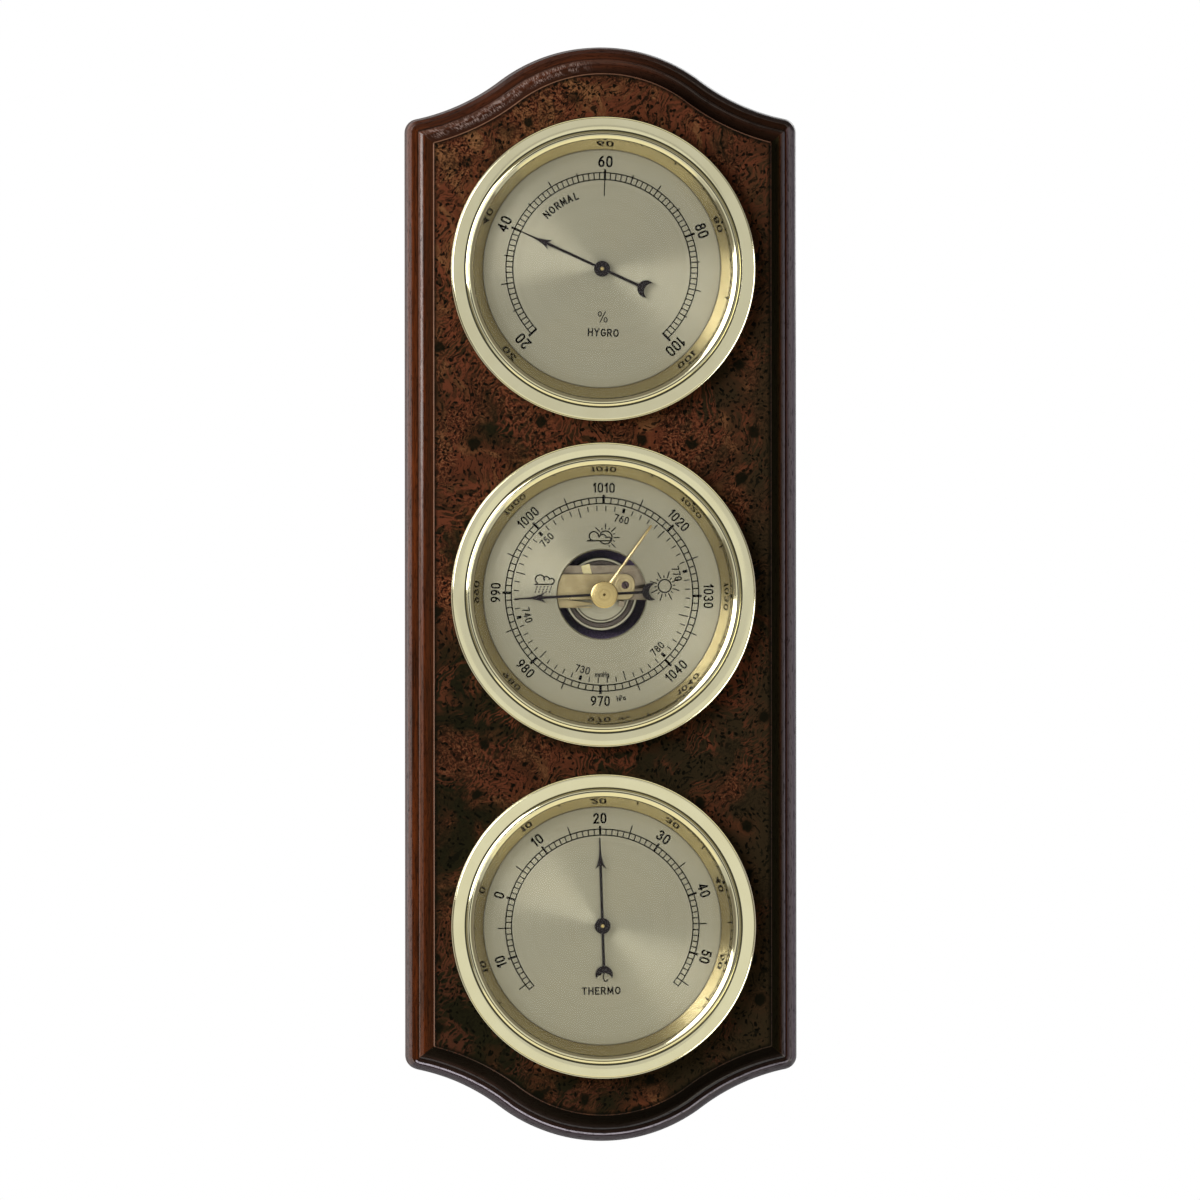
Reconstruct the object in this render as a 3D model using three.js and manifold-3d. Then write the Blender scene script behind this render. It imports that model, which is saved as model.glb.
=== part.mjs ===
// Wall weather station: a hygrometer, an aneroid barometer and a thermometer in a shaped wooden board.
// Millimetres. +Z is up, the dials face -Y, and the wall is the plane y = 0.
// A depth is a distance in front of the wall, so a point at depth d has y = -d.
// The origin is the hanging point: the axis of the wall screw in the hanger's slot, on the wall plane.

import * as THREE from 'three';
import { mergeVertices } from 'three/addons/utils/BufferGeometryUtils.js';
import Module from 'manifold-3d';

const wasm = await Module();
wasm.setup();

const DEGREE = Math.PI / 180;

// Board: its width and height are the instruments plus these margins, 131.8 by 369.4 in all
const SIDE_MARGIN = 14.4;
const TOP_MARGIN = 23.2;
const BOTTOM_MARGIN = 21.2;
const UPPER_GAP = 7;
const LOWER_GAP = 9;
const BOARD_THICKNESS = 21.4;
const VENEER_THICKNESS = 0.6;
const CROWN_RADIUS = 56;
const CROWN_ANGLE = 37.1 * DEGREE;
const SWEEP_RADIUS = 71;
const SHOULDER_RADIUS = 4.7;
const MITRE_RADIUS = 0.5;

// Edge moulding, from the side of the board to its raised field
const BACK_CHAMFER = 0.4;
const ROUNDOVER_RADIUS = 3.9;
const RIDGE_WIDTH = 1.2;
const RIDGE_HEIGHT = 1;
const COVE_RADIUS = 3.6;
const ARRIS_HEIGHT = 0.2;

// Keyhole hanger in the back of the board
const HANGER_WIDTH = 34;
const HANGER_HEIGHT = 18;
const HANGER_THICKNESS = 1.2;
const HANGER_CORNER = 3;
const HANGER_SETBACK = 14.5;
const KEYHOLE_RADIUS = 4.2;
const KEYHOLE_DROP = 6.6;
const SLOT_HALF_WIDTH = 2.3;
const SLOT_END_ABOVE_MIDDLE = 3.4;
const HEAD_POCKET_DEPTH = 5;
const HEAD_POCKET_WALL = 1.4;
const HEAD_POCKET_WIDTH = 12;
const HANGER_SCREW_SPACING = 25;
const HANGER_SCREW_HEAD_RADIUS = 2.4;
const HANGER_SCREW_RADIUS = 1.2;
const HANGER_SCREW_LENGTH = 9;

// Instruments: radii from the bezel inwards, and depths of the stack
const BEZEL_RADIUS = 51.5;
const BEZEL_BEVEL = 0.5;
const BEZEL_FLAT_WIDTH = 4.5;
const BEAD_BAND_WIDTH = 3.3;
const BEZEL_RISE = 2.5;
const BEZEL_SHEET = 0.9;
const BEAD_DROP = 0.6;
const BEAD_HEIGHT = 0.35;
const GLASS_REST = 1.8;
const GLASS_THICKNESS = 1.8;
const REFLECTOR_STEP = 3.4;
const REFLECTOR_DEPTH = 5.7;
const REFLECTOR_SHEET = 0.5;
const DIAL_THICKNESS = 0.8;
const DIAL_LEDGE = 2;
const CASE_SHEET = 0.8;
const CASE_SETBACK = 2;

// Clearances
const FIT_GAP = 0.3;
const RUNNING_GAP = 0.15;

// Pointers, arbors and calibrating screws
const POINTER_LENGTH = 29.7;
const POINTER_HEIGHT = 2;
const POINTER_THICKNESS = 0.4;
const BARB_DISTANCE = 19.6;
const BARB_HALF_WIDTH = 1.7;
const BARB_SWEEP = 0.9;
const HEAD_LENGTH = 4;
const SHAFT_HALF_WIDTH = 0.5;
const TIP_HALF_WIDTH = 0.25;
const HUB_RADIUS = 2.7;
const CRESCENT_DISTANCE = 16.4;
const CRESCENT_RADIUS = 2.9;
const CRESCENT_BITE_RADIUS = 2.35;
const CRESCENT_BITE_SHIFT = 2;
const ARBOR_RADIUS = 0.6;
const ARBOR_PROUD = 0.5;
const DIAL_HOLE_RADIUS = 1.6;
const ADJUSTER_HEAD_RADIUS = 3.5;
const ADJUSTER_HEAD_HEIGHT = 0.9;
const ADJUSTER_RADIUS = 1.5;
const ADJUSTER_SLOT_WIDTH = 0.8;
const ADJUSTER_SLOT_DEPTH = 0.5;

// Readings in the photographed state, as turns clockwise from straight up
const HYGROMETER_ANGLE = -65.3 * DEGREE;
const BAROMETER_ANGLE = -93 * DEGREE;
const THERMOMETER_ANGLE = -1.8 * DEGREE;
const MARKER_ANGLE = 35.4 * DEGREE;

// Coil movements of the hygrometer and the thermometer
const COIL_BRIDGE_WIDTH = 25;
const COIL_BRIDGE_HEIGHT = 8;
const COIL_BRIDGE_SHEET = 0.8;
const COIL_BRIDGE_DEPTH = 9.8;
const COIL_BRIDGE_FOOT = 4;
const COIL_HEIGHT = 4;
const COIL_LIFT = 1.4;
const HYGRO_STRIP = 0.5;
const HYGRO_TURNS = 5;
const BIMETAL_STRIP = 0.7;
const BIMETAL_TURNS = 4.5;

// Barometer movement, seen through the window in its dial
const WINDOW_RADIUS = 15;
const CAPSULE_RADIUS = 12.4;
const CAPSULE_HEIGHT = 4.2;
const CAPSULE_BOSS_RADIUS = 3;
const CAPSULE_BOSS_HEIGHT = 1.4;
const CAPSULE_RIDGE_RADIUS = 9.1;
const CAPSULE_RIDGE_HEIGHT = 0.4;
const CAPSULE_STUD_RADIUS = 1;
const CAPSULE_STUD_HEIGHT = 1;
const FRAME_PLATE_GAP = 0.5;
const FRAME_PLATE_LENGTH = 50;
const FRAME_PLATE_TOP = 9.7;
const FRAME_PLATE_SHEET = 1;
const FRAME_POST_SPACING = 42;
const FRAME_POST_RISE = 4;
const FRAME_POST_RADIUS = 2.2;
const TENON_RADIUS = 1;
const TENON_PROUD = 0.5;
const BRIDGE_LEFT = 22;
const BRIDGE_TOP = 6.9;
const BRIDGE_BOTTOM = 1.9;
const BRIDGE_CORNER = 3.3;
const BRIDGE_SHEET = 1;
const BRIDGE_CLEAR = 2.6;
const BRIDGE_POST_GAP = 0.5;
const BRIDGE_POST_RADIUS = 1.8;
const PIVOT_X = 8;
const PIVOT_Z = 3.1;
const PIVOT_RADIUS = 0.6;
const PIVOT_HEAD_RADIUS = 1.3;
const PIVOT_HEAD_HEIGHT = 0.8;
const PIVOT_SLOT_WIDTH = 0.5;
const PIVOT_SLOT_DEPTH = 0.35;
const BAROMETER_ADJUSTER_X = 16.2;

// Toothed sector and pinion: one turn of the pointer is a sixth of a turn of the sector
const GEAR_RATIO = 6;
const PINION_TEETH = 8;
const GEAR_WIDTH = 0.8;
const TOOTH_ADDENDUM = 0.75;
const TOOTH_DEDENDUM = 1.1;
const SECTOR_SPARE = 5 * DEGREE;
const POINTER_TURN_DOWN = 87 * DEGREE;
const POINTER_TURN_UP = 228 * DEGREE;
const SECTOR_HUB_RADIUS = 1.7;
const SECTOR_TAIL_LENGTH = 6.5;
const SECTOR_TAIL_ANGLE = 259 * DEGREE;
const SECTOR_TAIL_HALF_WIDTH = 0.6;
const LINK_CLAMP_SIZE = 2;
const LINK_CLAMP_HEIGHT = 0.7;

// Compensating arm, hairspring and its regulator
const ARM_SHEET = 0.8;
const ARM_ROOT_WIDTH = 3.6;
const ARM_TIP_X = -3;
const ARM_TIP_WIDTH = 1.7;
const ARM_DROP = 4.6;
const ARM_SLIT_LENGTH = 6;
const ARM_SLIT_WIDTH = 0.8;
const HAIRSPRING_INNER_RADIUS = 1.3;
const HAIRSPRING_STRIP = 0.18;
const HAIRSPRING_PITCH = 0.62;
const HAIRSPRING_TURNS = 3;
const HAIRSPRING_HEIGHT = 0.5;
const REGULATOR_X = -4.6;
const REGULATOR_PROUD = 3.2;
const REGULATOR_WIDTH = 3;
const REGULATOR_TILT = 14 * DEGREE;
const REGULATOR_SHEET = 0.5;

// Set knob on the glass and the marker hand behind it
const KNOB_RADIUS = 4.6;
const KNOB_NECK_RADIUS = 2.6;
const KNOB_NECK_HEIGHT = 2.6;
const KNOB_HEAD_HEIGHT = 6;
const KNOB_CHAMFER = 0.5;
const KNOB_SHAFT_RADIUS = 1.5;
const MARKER_LENGTH = 28.6;
const MARKER_ROOT_HALF_WIDTH = 0.6;
const MARKER_TIP_HALF_WIDTH = 0.35;
const MARKER_HUB_RADIUS = 2.6;
const MARKER_THICKNESS = 0.5;
const MARKER_BELOW_GLASS = 1.4;

// Facets
const SIDES = 32;
const SMALL_SIDES = 14;
const CORNER_STEPS = 3;
const SPIRAL_STEPS = 14;
const SHOULDER_STEPS = 2;
const SWEEP_STEPS = 4;
const CROWN_STEPS = 6;
const PROFILE_STEPS = 3;

// Sizes that follow from the ones above
const upperSpacing = 2 * BEZEL_RADIUS + UPPER_GAP;
const lowerSpacing = 2 * BEZEL_RADIUS + LOWER_GAP;
const boardTop = upperSpacing + BEZEL_RADIUS + TOP_MARGIN;
const boardBottom = -(lowerSpacing + BEZEL_RADIUS + BOTTOM_MARGIN);
const boardMiddle = (boardTop + boardBottom) / 2;
const halfWidth = BEZEL_RADIUS + SIDE_MARGIN;
const halfHeight = (boardTop - boardBottom) / 2;
const fieldInset = ROUNDOVER_RADIUS + RIDGE_WIDTH + COVE_RADIUS;
const hangerMiddle = boardTop - HANGER_SETBACK;
const hangingHeight = hangerMiddle + SLOT_END_ABOVE_MIDDLE;

const sightRadius = BEZEL_RADIUS - BEZEL_FLAT_WIDTH - BEAD_BAND_WIDTH;
const glassRadius = sightRadius + GLASS_REST;
const mouthRadius = sightRadius + REFLECTOR_SHEET + FIT_GAP;
const boreRadius = mouthRadius + CASE_SHEET + FIT_GAP;
const barrelRadius = mouthRadius - DIAL_LEDGE;
const dialRadius = mouthRadius - FIT_GAP;
const skirtRadius = BEZEL_RADIUS - BEZEL_SHEET;

const seat = BOARD_THICKNESS + VENEER_THICKNESS;
const flangeFront = seat + CASE_SHEET;
const reflectorFront = flangeFront + REFLECTOR_SHEET;
const dialFront = reflectorFront - REFLECTOR_DEPTH;
const dialBack = dialFront - DIAL_THICKNESS;
const glassFront = reflectorFront + GLASS_THICKNESS;
const bezelFront = glassFront + BEZEL_RISE;
const caseFloor = CASE_SETBACK + CASE_SHEET;
const pointerBack = dialFront + POINTER_HEIGHT;
const pointerFront = pointerBack + POINTER_THICKNESS;
const arborFront = pointerFront + ARBOR_PROUD;
const arborHole = ARBOR_RADIUS + RUNNING_GAP;

const coilBridgeBack = dialBack - COIL_BRIDGE_DEPTH;
const coilBridgeFloor = coilBridgeBack + COIL_BRIDGE_SHEET;
const coilInnerRadius = ARBOR_RADIUS + FIT_GAP;
const coilOuterRadius = COIL_BRIDGE_WIDTH / 2 - COIL_BRIDGE_SHEET - FIT_GAP;

const capsuleBack = caseFloor + CAPSULE_BOSS_HEIGHT;
const capsuleFront = capsuleBack + CAPSULE_HEIGHT;
const framePlateBack = capsuleFront + CAPSULE_STUD_HEIGHT + FRAME_PLATE_GAP;
const framePlateFront = framePlateBack + FRAME_PLATE_SHEET;
const bridgeBack = framePlateFront + BRIDGE_CLEAR;
const bridgeFront = bridgeBack + BRIDGE_SHEET;
const gearBack = (framePlateFront + bridgeBack - GEAR_WIDTH) / 2;
const gearFront = gearBack + GEAR_WIDTH;
const pivotHole = PIVOT_RADIUS + RUNNING_GAP;
const pivotDistance = Math.hypot(PIVOT_X, PIVOT_Z);
const pivotAngle = Math.atan2(PIVOT_Z, PIVOT_X);
const toothModule = 2 * pivotDistance / (PINION_TEETH * (1 + GEAR_RATIO));
const pinionRadius = toothModule * PINION_TEETH / 2;
const sectorRadius = pinionRadius * GEAR_RATIO;

// Finishes
const STAINED_WOOD = { color: 0x46261a, roughness: 0.35, metalness: 0 };
const BURL = { color: 0x4a2816, roughness: 0.25, metalness: 0 };
const GILT = { color: 0xd8d0a4, roughness: 0.15, metalness: 1 };
const MIRROR_GILT = { color: 0xb8a878, roughness: 0.1, metalness: 1 };
const CHAMPAGNE = { color: 0xb0aa90, roughness: 0.4, metalness: 0.9 };
const BRASS = { color: 0xc8b070, roughness: 0.3, metalness: 1 };
const STEEL = { color: 0x9a9488, roughness: 0.4, metalness: 1 };
const CAPSULE_METAL = { color: 0xb4b0a4, roughness: 0.35, metalness: 0.9 };
const BLACK = { color: 0x141418, roughness: 0.45, metalness: 0 };
const ZINC = { color: 0xa8a8a0, roughness: 0.45, metalness: 1 };
const HYGRO_FOIL = { color: 0xc8b890, roughness: 0.6, metalness: 0.2 };
const CLEAR = { color: 0xf4f8f6, roughness: 0.03, metalness: 0, transparent: true, opacity: 0.2 };

// A geometry with shared corners, no slivers and its faces pointing out
function closed(geometry) {
  geometry.deleteAttribute('normal');
  geometry.deleteAttribute('uv');
  const merged = mergeVertices(geometry);
  const position = merged.attributes.position;
  const corners = [new THREE.Vector3(), new THREE.Vector3(), new THREE.Vector3()];
  const faces = [];
  let volume = 0;
  for (let i = 0; i < merged.index.count; i += 3) {
    const face = [0, 1, 2].map((k) => merged.index.getX(i + k));
    if (new Set(face).size < 3) continue;
    face.forEach((vertex, k) => corners[k].fromBufferAttribute(position, vertex));
    volume += corners[0].dot(corners[1].clone().cross(corners[2]));
    faces.push(face);
  }
  merged.setIndex(faces.flatMap(([a, b, c]) => (volume > 0 ? [a, b, c] : [a, c, b])));
  return merged;
}

function solid(geometry) {
  return new wasm.Manifold(new wasm.Mesh({
    numProp: 3,
    vertProperties: new Float32Array(geometry.attributes.position.array),
    triVerts: new Uint32Array(geometry.index.array),
  }));
}

function geometryOf(manifold) {
  const { vertProperties, triVerts } = manifold.getMesh();
  const geometry = new THREE.BufferGeometry();
  geometry.setAttribute('position', new THREE.BufferAttribute(vertProperties, 3));
  geometry.setIndex(new THREE.BufferAttribute(triVerts, 1));
  return geometry;
}

function cut(geometry, ...tools) {
  return geometryOf(tools.reduce((whole, tool) => whole.subtract(solid(tool)), solid(geometry)));
}

function join(...pieces) {
  return geometryOf(pieces.map(solid).reduce((whole, piece) => whole.add(piece)));
}

// A piece spun about the instrument's axis from a profile of radius and depth
function turned(profile, sides = SIDES) {
  const points = profile.map(([radius, depth]) => new THREE.Vector2(radius, -depth));
  return closed(new THREE.LatheGeometry(points, sides));
}

function ring(innerRadius, outerRadius, back, front, sides = SIDES) {
  const profile = [[innerRadius, back], [outerRadius, back], [outerRadius, front], [innerRadius, front]];
  return turned([...profile, profile[0]], sides);
}

function disc(radius, back, front, sides = SIDES) {
  return turned([[0, back], [radius, back], [radius, front], [0, front]], sides);
}

// A round bar or hole whose axis stands off the instrument's axis
function peg(x, z, radius, back, front, sides = SMALL_SIDES) {
  return disc(radius, back, front, sides).translate(x, 0, z);
}

// A flat piece: a shape drawn in x and z, between two depths
function plate(shape, back, front) {
  const options = { depth: 1, bevelEnabled: false, curveSegments: CORNER_STEPS };
  const geometry = new THREE.ExtrudeGeometry(shape, options);
  const position = geometry.attributes.position;
  for (let i = 0; i < position.count; i += 1) {
    const depth = position.getZ(i) > 0.5 ? front : back;
    position.setXYZ(i, position.getX(i), -depth, position.getY(i));
  }
  return closed(geometry);
}

function outlined(points) {
  return new THREE.Shape(points.map(([x, z]) => new THREE.Vector2(x, z)));
}

function roundedRectangle(left, right, bottom, top, corner) {
  const shape = new THREE.Shape();
  shape.absarc(right - corner, bottom + corner, corner, -Math.PI / 2, 0);
  shape.absarc(right - corner, top - corner, corner, 0, Math.PI / 2);
  shape.absarc(left + corner, top - corner, corner, Math.PI / 2, Math.PI);
  shape.absarc(left + corner, bottom + corner, corner, Math.PI, 1.5 * Math.PI);
  return shape;
}

function box(left, right, bottom, top, back, front) {
  return plate(outlined([[left, bottom], [right, bottom], [right, top], [left, top]]), back, front);
}

// Points along an arc, both ends included
function arc(centre, radius, start, end, steps) {
  return Array.from({ length: steps + 1 }, (_, i) => {
    const angle = start + (end - start) * i / steps;
    return new THREE.Vector2(centre.x + radius * Math.cos(angle), centre.y + radius * Math.sin(angle));
  });
}

// The board's outline, drawn in by an inset: crown, sweep and shoulder at each end, straight sides between
function boardOutline(inset) {
  const crownCentre = new THREE.Vector2(0, halfHeight - CROWN_RADIUS);
  const reach = CROWN_RADIUS + SWEEP_RADIUS;
  const sweepCentre = crownCentre.clone();
  sweepCentre.add(new THREE.Vector2(reach * Math.sin(CROWN_ANGLE), reach * Math.cos(CROWN_ANGLE)));
  const sweepRadius = SWEEP_RADIUS + inset;
  const shoulderRadius = Math.max(SHOULDER_RADIUS - inset, MITRE_RADIUS);
  const shoulderX = halfWidth - inset - shoulderRadius;
  const shoulderDrop = Math.sqrt((sweepRadius + shoulderRadius) ** 2 - (sweepCentre.x - shoulderX) ** 2);
  const shoulderCentre = new THREE.Vector2(shoulderX, sweepCentre.y - shoulderDrop);
  const shoulderEnd = sweepCentre.clone().sub(shoulderCentre).angle();
  const sweepEnd = -Math.PI / 2 - CROWN_ANGLE;
  const crownRadius = CROWN_RADIUS - inset;
  const right = [
    ...arc(shoulderCentre, shoulderRadius, 0, shoulderEnd, SHOULDER_STEPS),
    ...arc(sweepCentre, sweepRadius, shoulderEnd - Math.PI, sweepEnd, SWEEP_STEPS).slice(1),
    ...arc(crownCentre, crownRadius, sweepEnd + Math.PI, Math.PI / 2, CROWN_STEPS).slice(1),
  ];
  const left = right.slice(0, -1).reverse().map((point) => new THREE.Vector2(-point.x, point.y));
  const top = [...right, ...left];
  const bottom = top.map((point) => point.clone().negate());
  return [...top, ...bottom];
}

// The edge section as insets and depths, from the back of the board to its raised field
function edgeSection() {
  const coveTop = BOARD_THICKNESS - ARRIS_HEIGHT;
  const coveFloor = coveTop - COVE_RADIUS;
  const ridgeFloor = coveFloor - RIDGE_HEIGHT;
  const roundCentre = new THREE.Vector2(ROUNDOVER_RADIUS, ridgeFloor - ROUNDOVER_RADIUS);
  const coveCentre = new THREE.Vector2(fieldInset - COVE_RADIUS, coveTop);
  const back = [new THREE.Vector2(BACK_CHAMFER, 0), new THREE.Vector2(0, BACK_CHAMFER)];
  const field = new THREE.Vector2(fieldInset, BOARD_THICKNESS);
  return [
    ...back,
    ...arc(roundCentre, ROUNDOVER_RADIUS, Math.PI, Math.PI / 2, PROFILE_STEPS),
    ...arc(coveCentre, COVE_RADIUS, -Math.PI / 2, 0, PROFILE_STEPS),
    field,
  ];
}

// The moulded blank: the outline carried along the edge section, closed by a flat back and a flat field
function boardBlank() {
  const section = edgeSection();
  const outlines = section.map((point) => boardOutline(point.x));
  const count = outlines[0].length;
  const vertices = outlines.flatMap((outline, row) => {
    const y = -section[row].y;
    return outline.flatMap((point) => [point.x, y, point.y]);
  });
  const faces = [];
  for (let row = 0; row + 1 < outlines.length; row += 1) {
    for (let i = 0; i < count; i += 1) {
      const next = (i + 1) % count;
      const here = row * count;
      const above = here + count;
      faces.push(here + i, here + next, above + next, here + i, above + next, above + i);
    }
  }
  const last = (outlines.length - 1) * count;
  const backFaces = THREE.ShapeUtils.triangulateShape(outlines[0], []);
  const fieldFaces = THREE.ShapeUtils.triangulateShape(outlines.at(-1), []);
  backFaces.forEach(([a, b, c]) => faces.push(a, c, b));
  fieldFaces.forEach((face) => faces.push(...face.map((vertex) => vertex + last)));
  const geometry = new THREE.BufferGeometry();
  geometry.setAttribute('position', new THREE.Float32BufferAttribute(vertices, 3));
  geometry.setIndex(faces);
  return closed(geometry).translate(0, 0, boardMiddle);
}

const instrumentHeights = { hygrometer: upperSpacing, barometer: 0, thermometer: -lowerSpacing };
const heights = Object.values(instrumentHeights);
const hangerScrewX = [-HANGER_SCREW_SPACING / 2, HANGER_SCREW_SPACING / 2];

function hangerOutline(margin) {
  const half = new THREE.Vector2(HANGER_WIDTH / 2 + margin, HANGER_HEIGHT / 2 + margin);
  const corner = HANGER_CORNER + margin;
  return roundedRectangle(-half.x, half.x, hangerMiddle - half.y, hangerMiddle + half.y, corner);
}

function woodBoard() {
  const pocketHalf = HANGER_HEIGHT / 2 - HEAD_POCKET_WALL;
  const pocketFront = HANGER_THICKNESS + HEAD_POCKET_DEPTH;
  const bores = heights.map((z) => peg(0, z, boreRadius, -1, BOARD_THICKNESS + 1, SIDES));
  const recess = plate(hangerOutline(FIT_GAP), -1, HANGER_THICKNESS);
  const pocket = box(-HEAD_POCKET_WIDTH / 2, HEAD_POCKET_WIDTH / 2, hangerMiddle - pocketHalf,
    hangerMiddle + pocketHalf, 0, pocketFront);
  const screwHoles = hangerScrewX.map((x) => peg(x, hangerMiddle, HANGER_SCREW_RADIUS + FIT_GAP, 0,
    HANGER_SCREW_LENGTH + FIT_GAP));
  return cut(boardBlank(), ...bores, recess, pocket, ...screwHoles);
}

function burlVeneer() {
  const sheet = new THREE.Shape(boardOutline(fieldInset));
  const blank = plate(sheet, BOARD_THICKNESS, seat).translate(0, 0, boardMiddle);
  return cut(blank, ...heights.map((z) => peg(0, z, boreRadius, BOARD_THICKNESS - 1, seat + 1, SIDES)));
}

// Countersunk head and shank of a hanger screw, widened all round by a margin
function hangerScrew(x, margin, length) {
  const head = HANGER_SCREW_HEAD_RADIUS + margin;
  const shank = HANGER_SCREW_RADIUS + margin;
  const profile = [[0, 0], [head, 0], [shank, HANGER_THICKNESS], [shank, length], [0, length]];
  return turned(profile, SMALL_SIDES).translate(x, 0, hangerMiddle);
}

function hangerPlate() {
  const keyholeZ = hangingHeight - KEYHOLE_DROP;
  const keyhole = join(
    peg(0, keyholeZ, KEYHOLE_RADIUS, -1, HANGER_THICKNESS + 1),
    peg(0, hangingHeight, SLOT_HALF_WIDTH, -1, HANGER_THICKNESS + 1),
    box(-SLOT_HALF_WIDTH, SLOT_HALF_WIDTH, keyholeZ, hangingHeight, -1, HANGER_THICKNESS + 1),
  );
  const sinks = hangerScrewX.map((x) => hangerScrew(x, FIT_GAP, HANGER_THICKNESS + 1));
  return cut(plate(hangerOutline(0), 0, HANGER_THICKNESS), keyhole, ...sinks);
}

// Spun case: floor, narrow barrel, ledge under the dial, wide mouth and flange on the veneer
function instrumentCase(adjusterX, adjusterZ) {
  const profile = [
    [0, CASE_SETBACK],
    [barrelRadius + CASE_SHEET, CASE_SETBACK],
    [barrelRadius + CASE_SHEET, dialBack - CASE_SHEET],
    [mouthRadius + CASE_SHEET, dialBack - CASE_SHEET],
    [mouthRadius + CASE_SHEET, seat],
    [skirtRadius - FIT_GAP, seat],
    [skirtRadius - FIT_GAP, flangeFront],
    [mouthRadius, flangeFront],
    [mouthRadius, dialBack],
    [barrelRadius, dialBack],
    [barrelRadius, caseFloor],
    [0, caseFloor],
  ];
  const hole = peg(adjusterX, adjusterZ, ADJUSTER_RADIUS + FIT_GAP, CASE_SETBACK - 1, caseFloor + 1);
  return cut(turned(profile), hole);
}

// Spun bezel: skirt on the veneer, flat front, two beads and the lip that holds the glass
function bezel() {
  const flatInner = BEZEL_RADIUS - BEZEL_FLAT_WIDTH;
  const beadWidth = BEAD_BAND_WIDTH / 3;
  const underside = bezelFront - BEZEL_SHEET;
  const profile = [
    [skirtRadius, seat],
    [BEZEL_RADIUS, seat],
    [BEZEL_RADIUS, bezelFront - BEZEL_BEVEL],
    [BEZEL_RADIUS - BEZEL_BEVEL, bezelFront],
    [flatInner, bezelFront],
  ];
  for (const bead of [1, 2]) {
    const outer = flatInner - beadWidth * bead;
    const floor = bezelFront - BEAD_DROP * bead;
    profile.push([outer + beadWidth / 4, floor], [outer - beadWidth / 3, floor + BEAD_HEIGHT]);
  }
  profile.push(
    [sightRadius, bezelFront - BEAD_DROP * 3],
    [sightRadius, glassFront],
    [glassRadius, glassFront],
    [flatInner, underside],
    [skirtRadius, underside],
    [skirtRadius, seat],
  );
  return turned(profile);
}

// Conical mirror ring: it stands on the dial, and its flange lies between the case and the glass
function reflector() {
  const foot = sightRadius - REFLECTOR_STEP;
  return turned([
    [foot, dialFront],
    [foot + REFLECTOR_SHEET, dialFront],
    [sightRadius + REFLECTOR_SHEET, flangeFront],
    [glassRadius, flangeFront],
    [glassRadius, reflectorFront],
    [sightRadius, reflectorFront],
    [foot, dialFront],
  ]);
}

// Pointer drawn straight up: arrow, hub, tail and crescent counterweight
function pointer() {
  const half = [
    [SHAFT_HALF_WIDTH, -CRESCENT_DISTANCE + CRESCENT_RADIUS / 2],
    [SHAFT_HALF_WIDTH, BARB_DISTANCE + BARB_SWEEP],
    [BARB_HALF_WIDTH, BARB_DISTANCE],
    [TIP_HALF_WIDTH, BARB_DISTANCE + HEAD_LENGTH],
    [TIP_HALF_WIDTH / 2, POINTER_LENGTH],
  ];
  const mirrored = half.map(([x, z]) => [-x, z]).reverse();
  const stem = plate(outlined([...half, ...mirrored]), pointerBack, pointerFront);
  const hub = disc(HUB_RADIUS, pointerBack, pointerFront, SMALL_SIDES);
  const through = [pointerBack - 1, pointerFront + 1];
  const moon = peg(0, -CRESCENT_DISTANCE, CRESCENT_RADIUS, pointerBack, pointerFront);
  const bite = peg(0, -CRESCENT_DISTANCE - CRESCENT_BITE_SHIFT, CRESCENT_BITE_RADIUS, ...through);
  const hole = disc(arborHole, ...through, SMALL_SIDES);
  return cut(join(stem, hub, cut(moon, bite)), hole);
}

// Slotted screw in the case back, with its head towards the wall
function adjuster(x, z, reach) {
  const headBack = CASE_SETBACK - ADJUSTER_HEAD_HEIGHT;
  const profile = [[0, headBack], [ADJUSTER_HEAD_RADIUS, headBack], [ADJUSTER_HEAD_RADIUS, CASE_SETBACK],
    [ADJUSTER_RADIUS, CASE_SETBACK], [ADJUSTER_RADIUS, reach], [0, reach]];
  const slotHalf = ADJUSTER_SLOT_WIDTH / 2;
  const slotReach = ADJUSTER_HEAD_RADIUS + 1;
  const slotFloor = headBack + ADJUSTER_SLOT_DEPTH;
  const slot = box(-slotReach, slotReach, -slotHalf, slotHalf, headBack - 1, slotFloor);
  return cut(turned(profile, SMALL_SIDES), slot).translate(x, 0, z);
}

// Both sides of a flat spiral strip, from its inner end outwards
function spiralSides(innerRadius, pitch, turns, strip) {
  const steps = Math.round(turns * SPIRAL_STEPS);
  return [innerRadius, innerRadius + strip].map((start) => Array.from({ length: steps + 1 }, (_, i) => {
    const radius = start + pitch * i / SPIRAL_STEPS;
    const angle = 2 * Math.PI * i / SPIRAL_STEPS;
    return [radius * Math.cos(angle), radius * Math.sin(angle)];
  }));
}

function spiralGap([inner, outer]) {
  let gap = Infinity;
  outer.forEach(([x, z], i) => {
    const nextTurn = inner.slice(i + SPIRAL_STEPS / 2);
    for (const [nextX, nextZ] of nextTurn) gap = Math.min(gap, Math.hypot(nextX - x, nextZ - z));
  });
  return gap;
}

function spiral(name, innerRadius, pitch, turns, strip, back, front) {
  const sides = spiralSides(innerRadius, pitch, turns, strip);
  console.log(`${name}: least gap between turns ${spiralGap(sides).toFixed(2)} mm`);
  return plate(outlined([...sides[0], ...sides[1].reverse()]), back, front);
}

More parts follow.
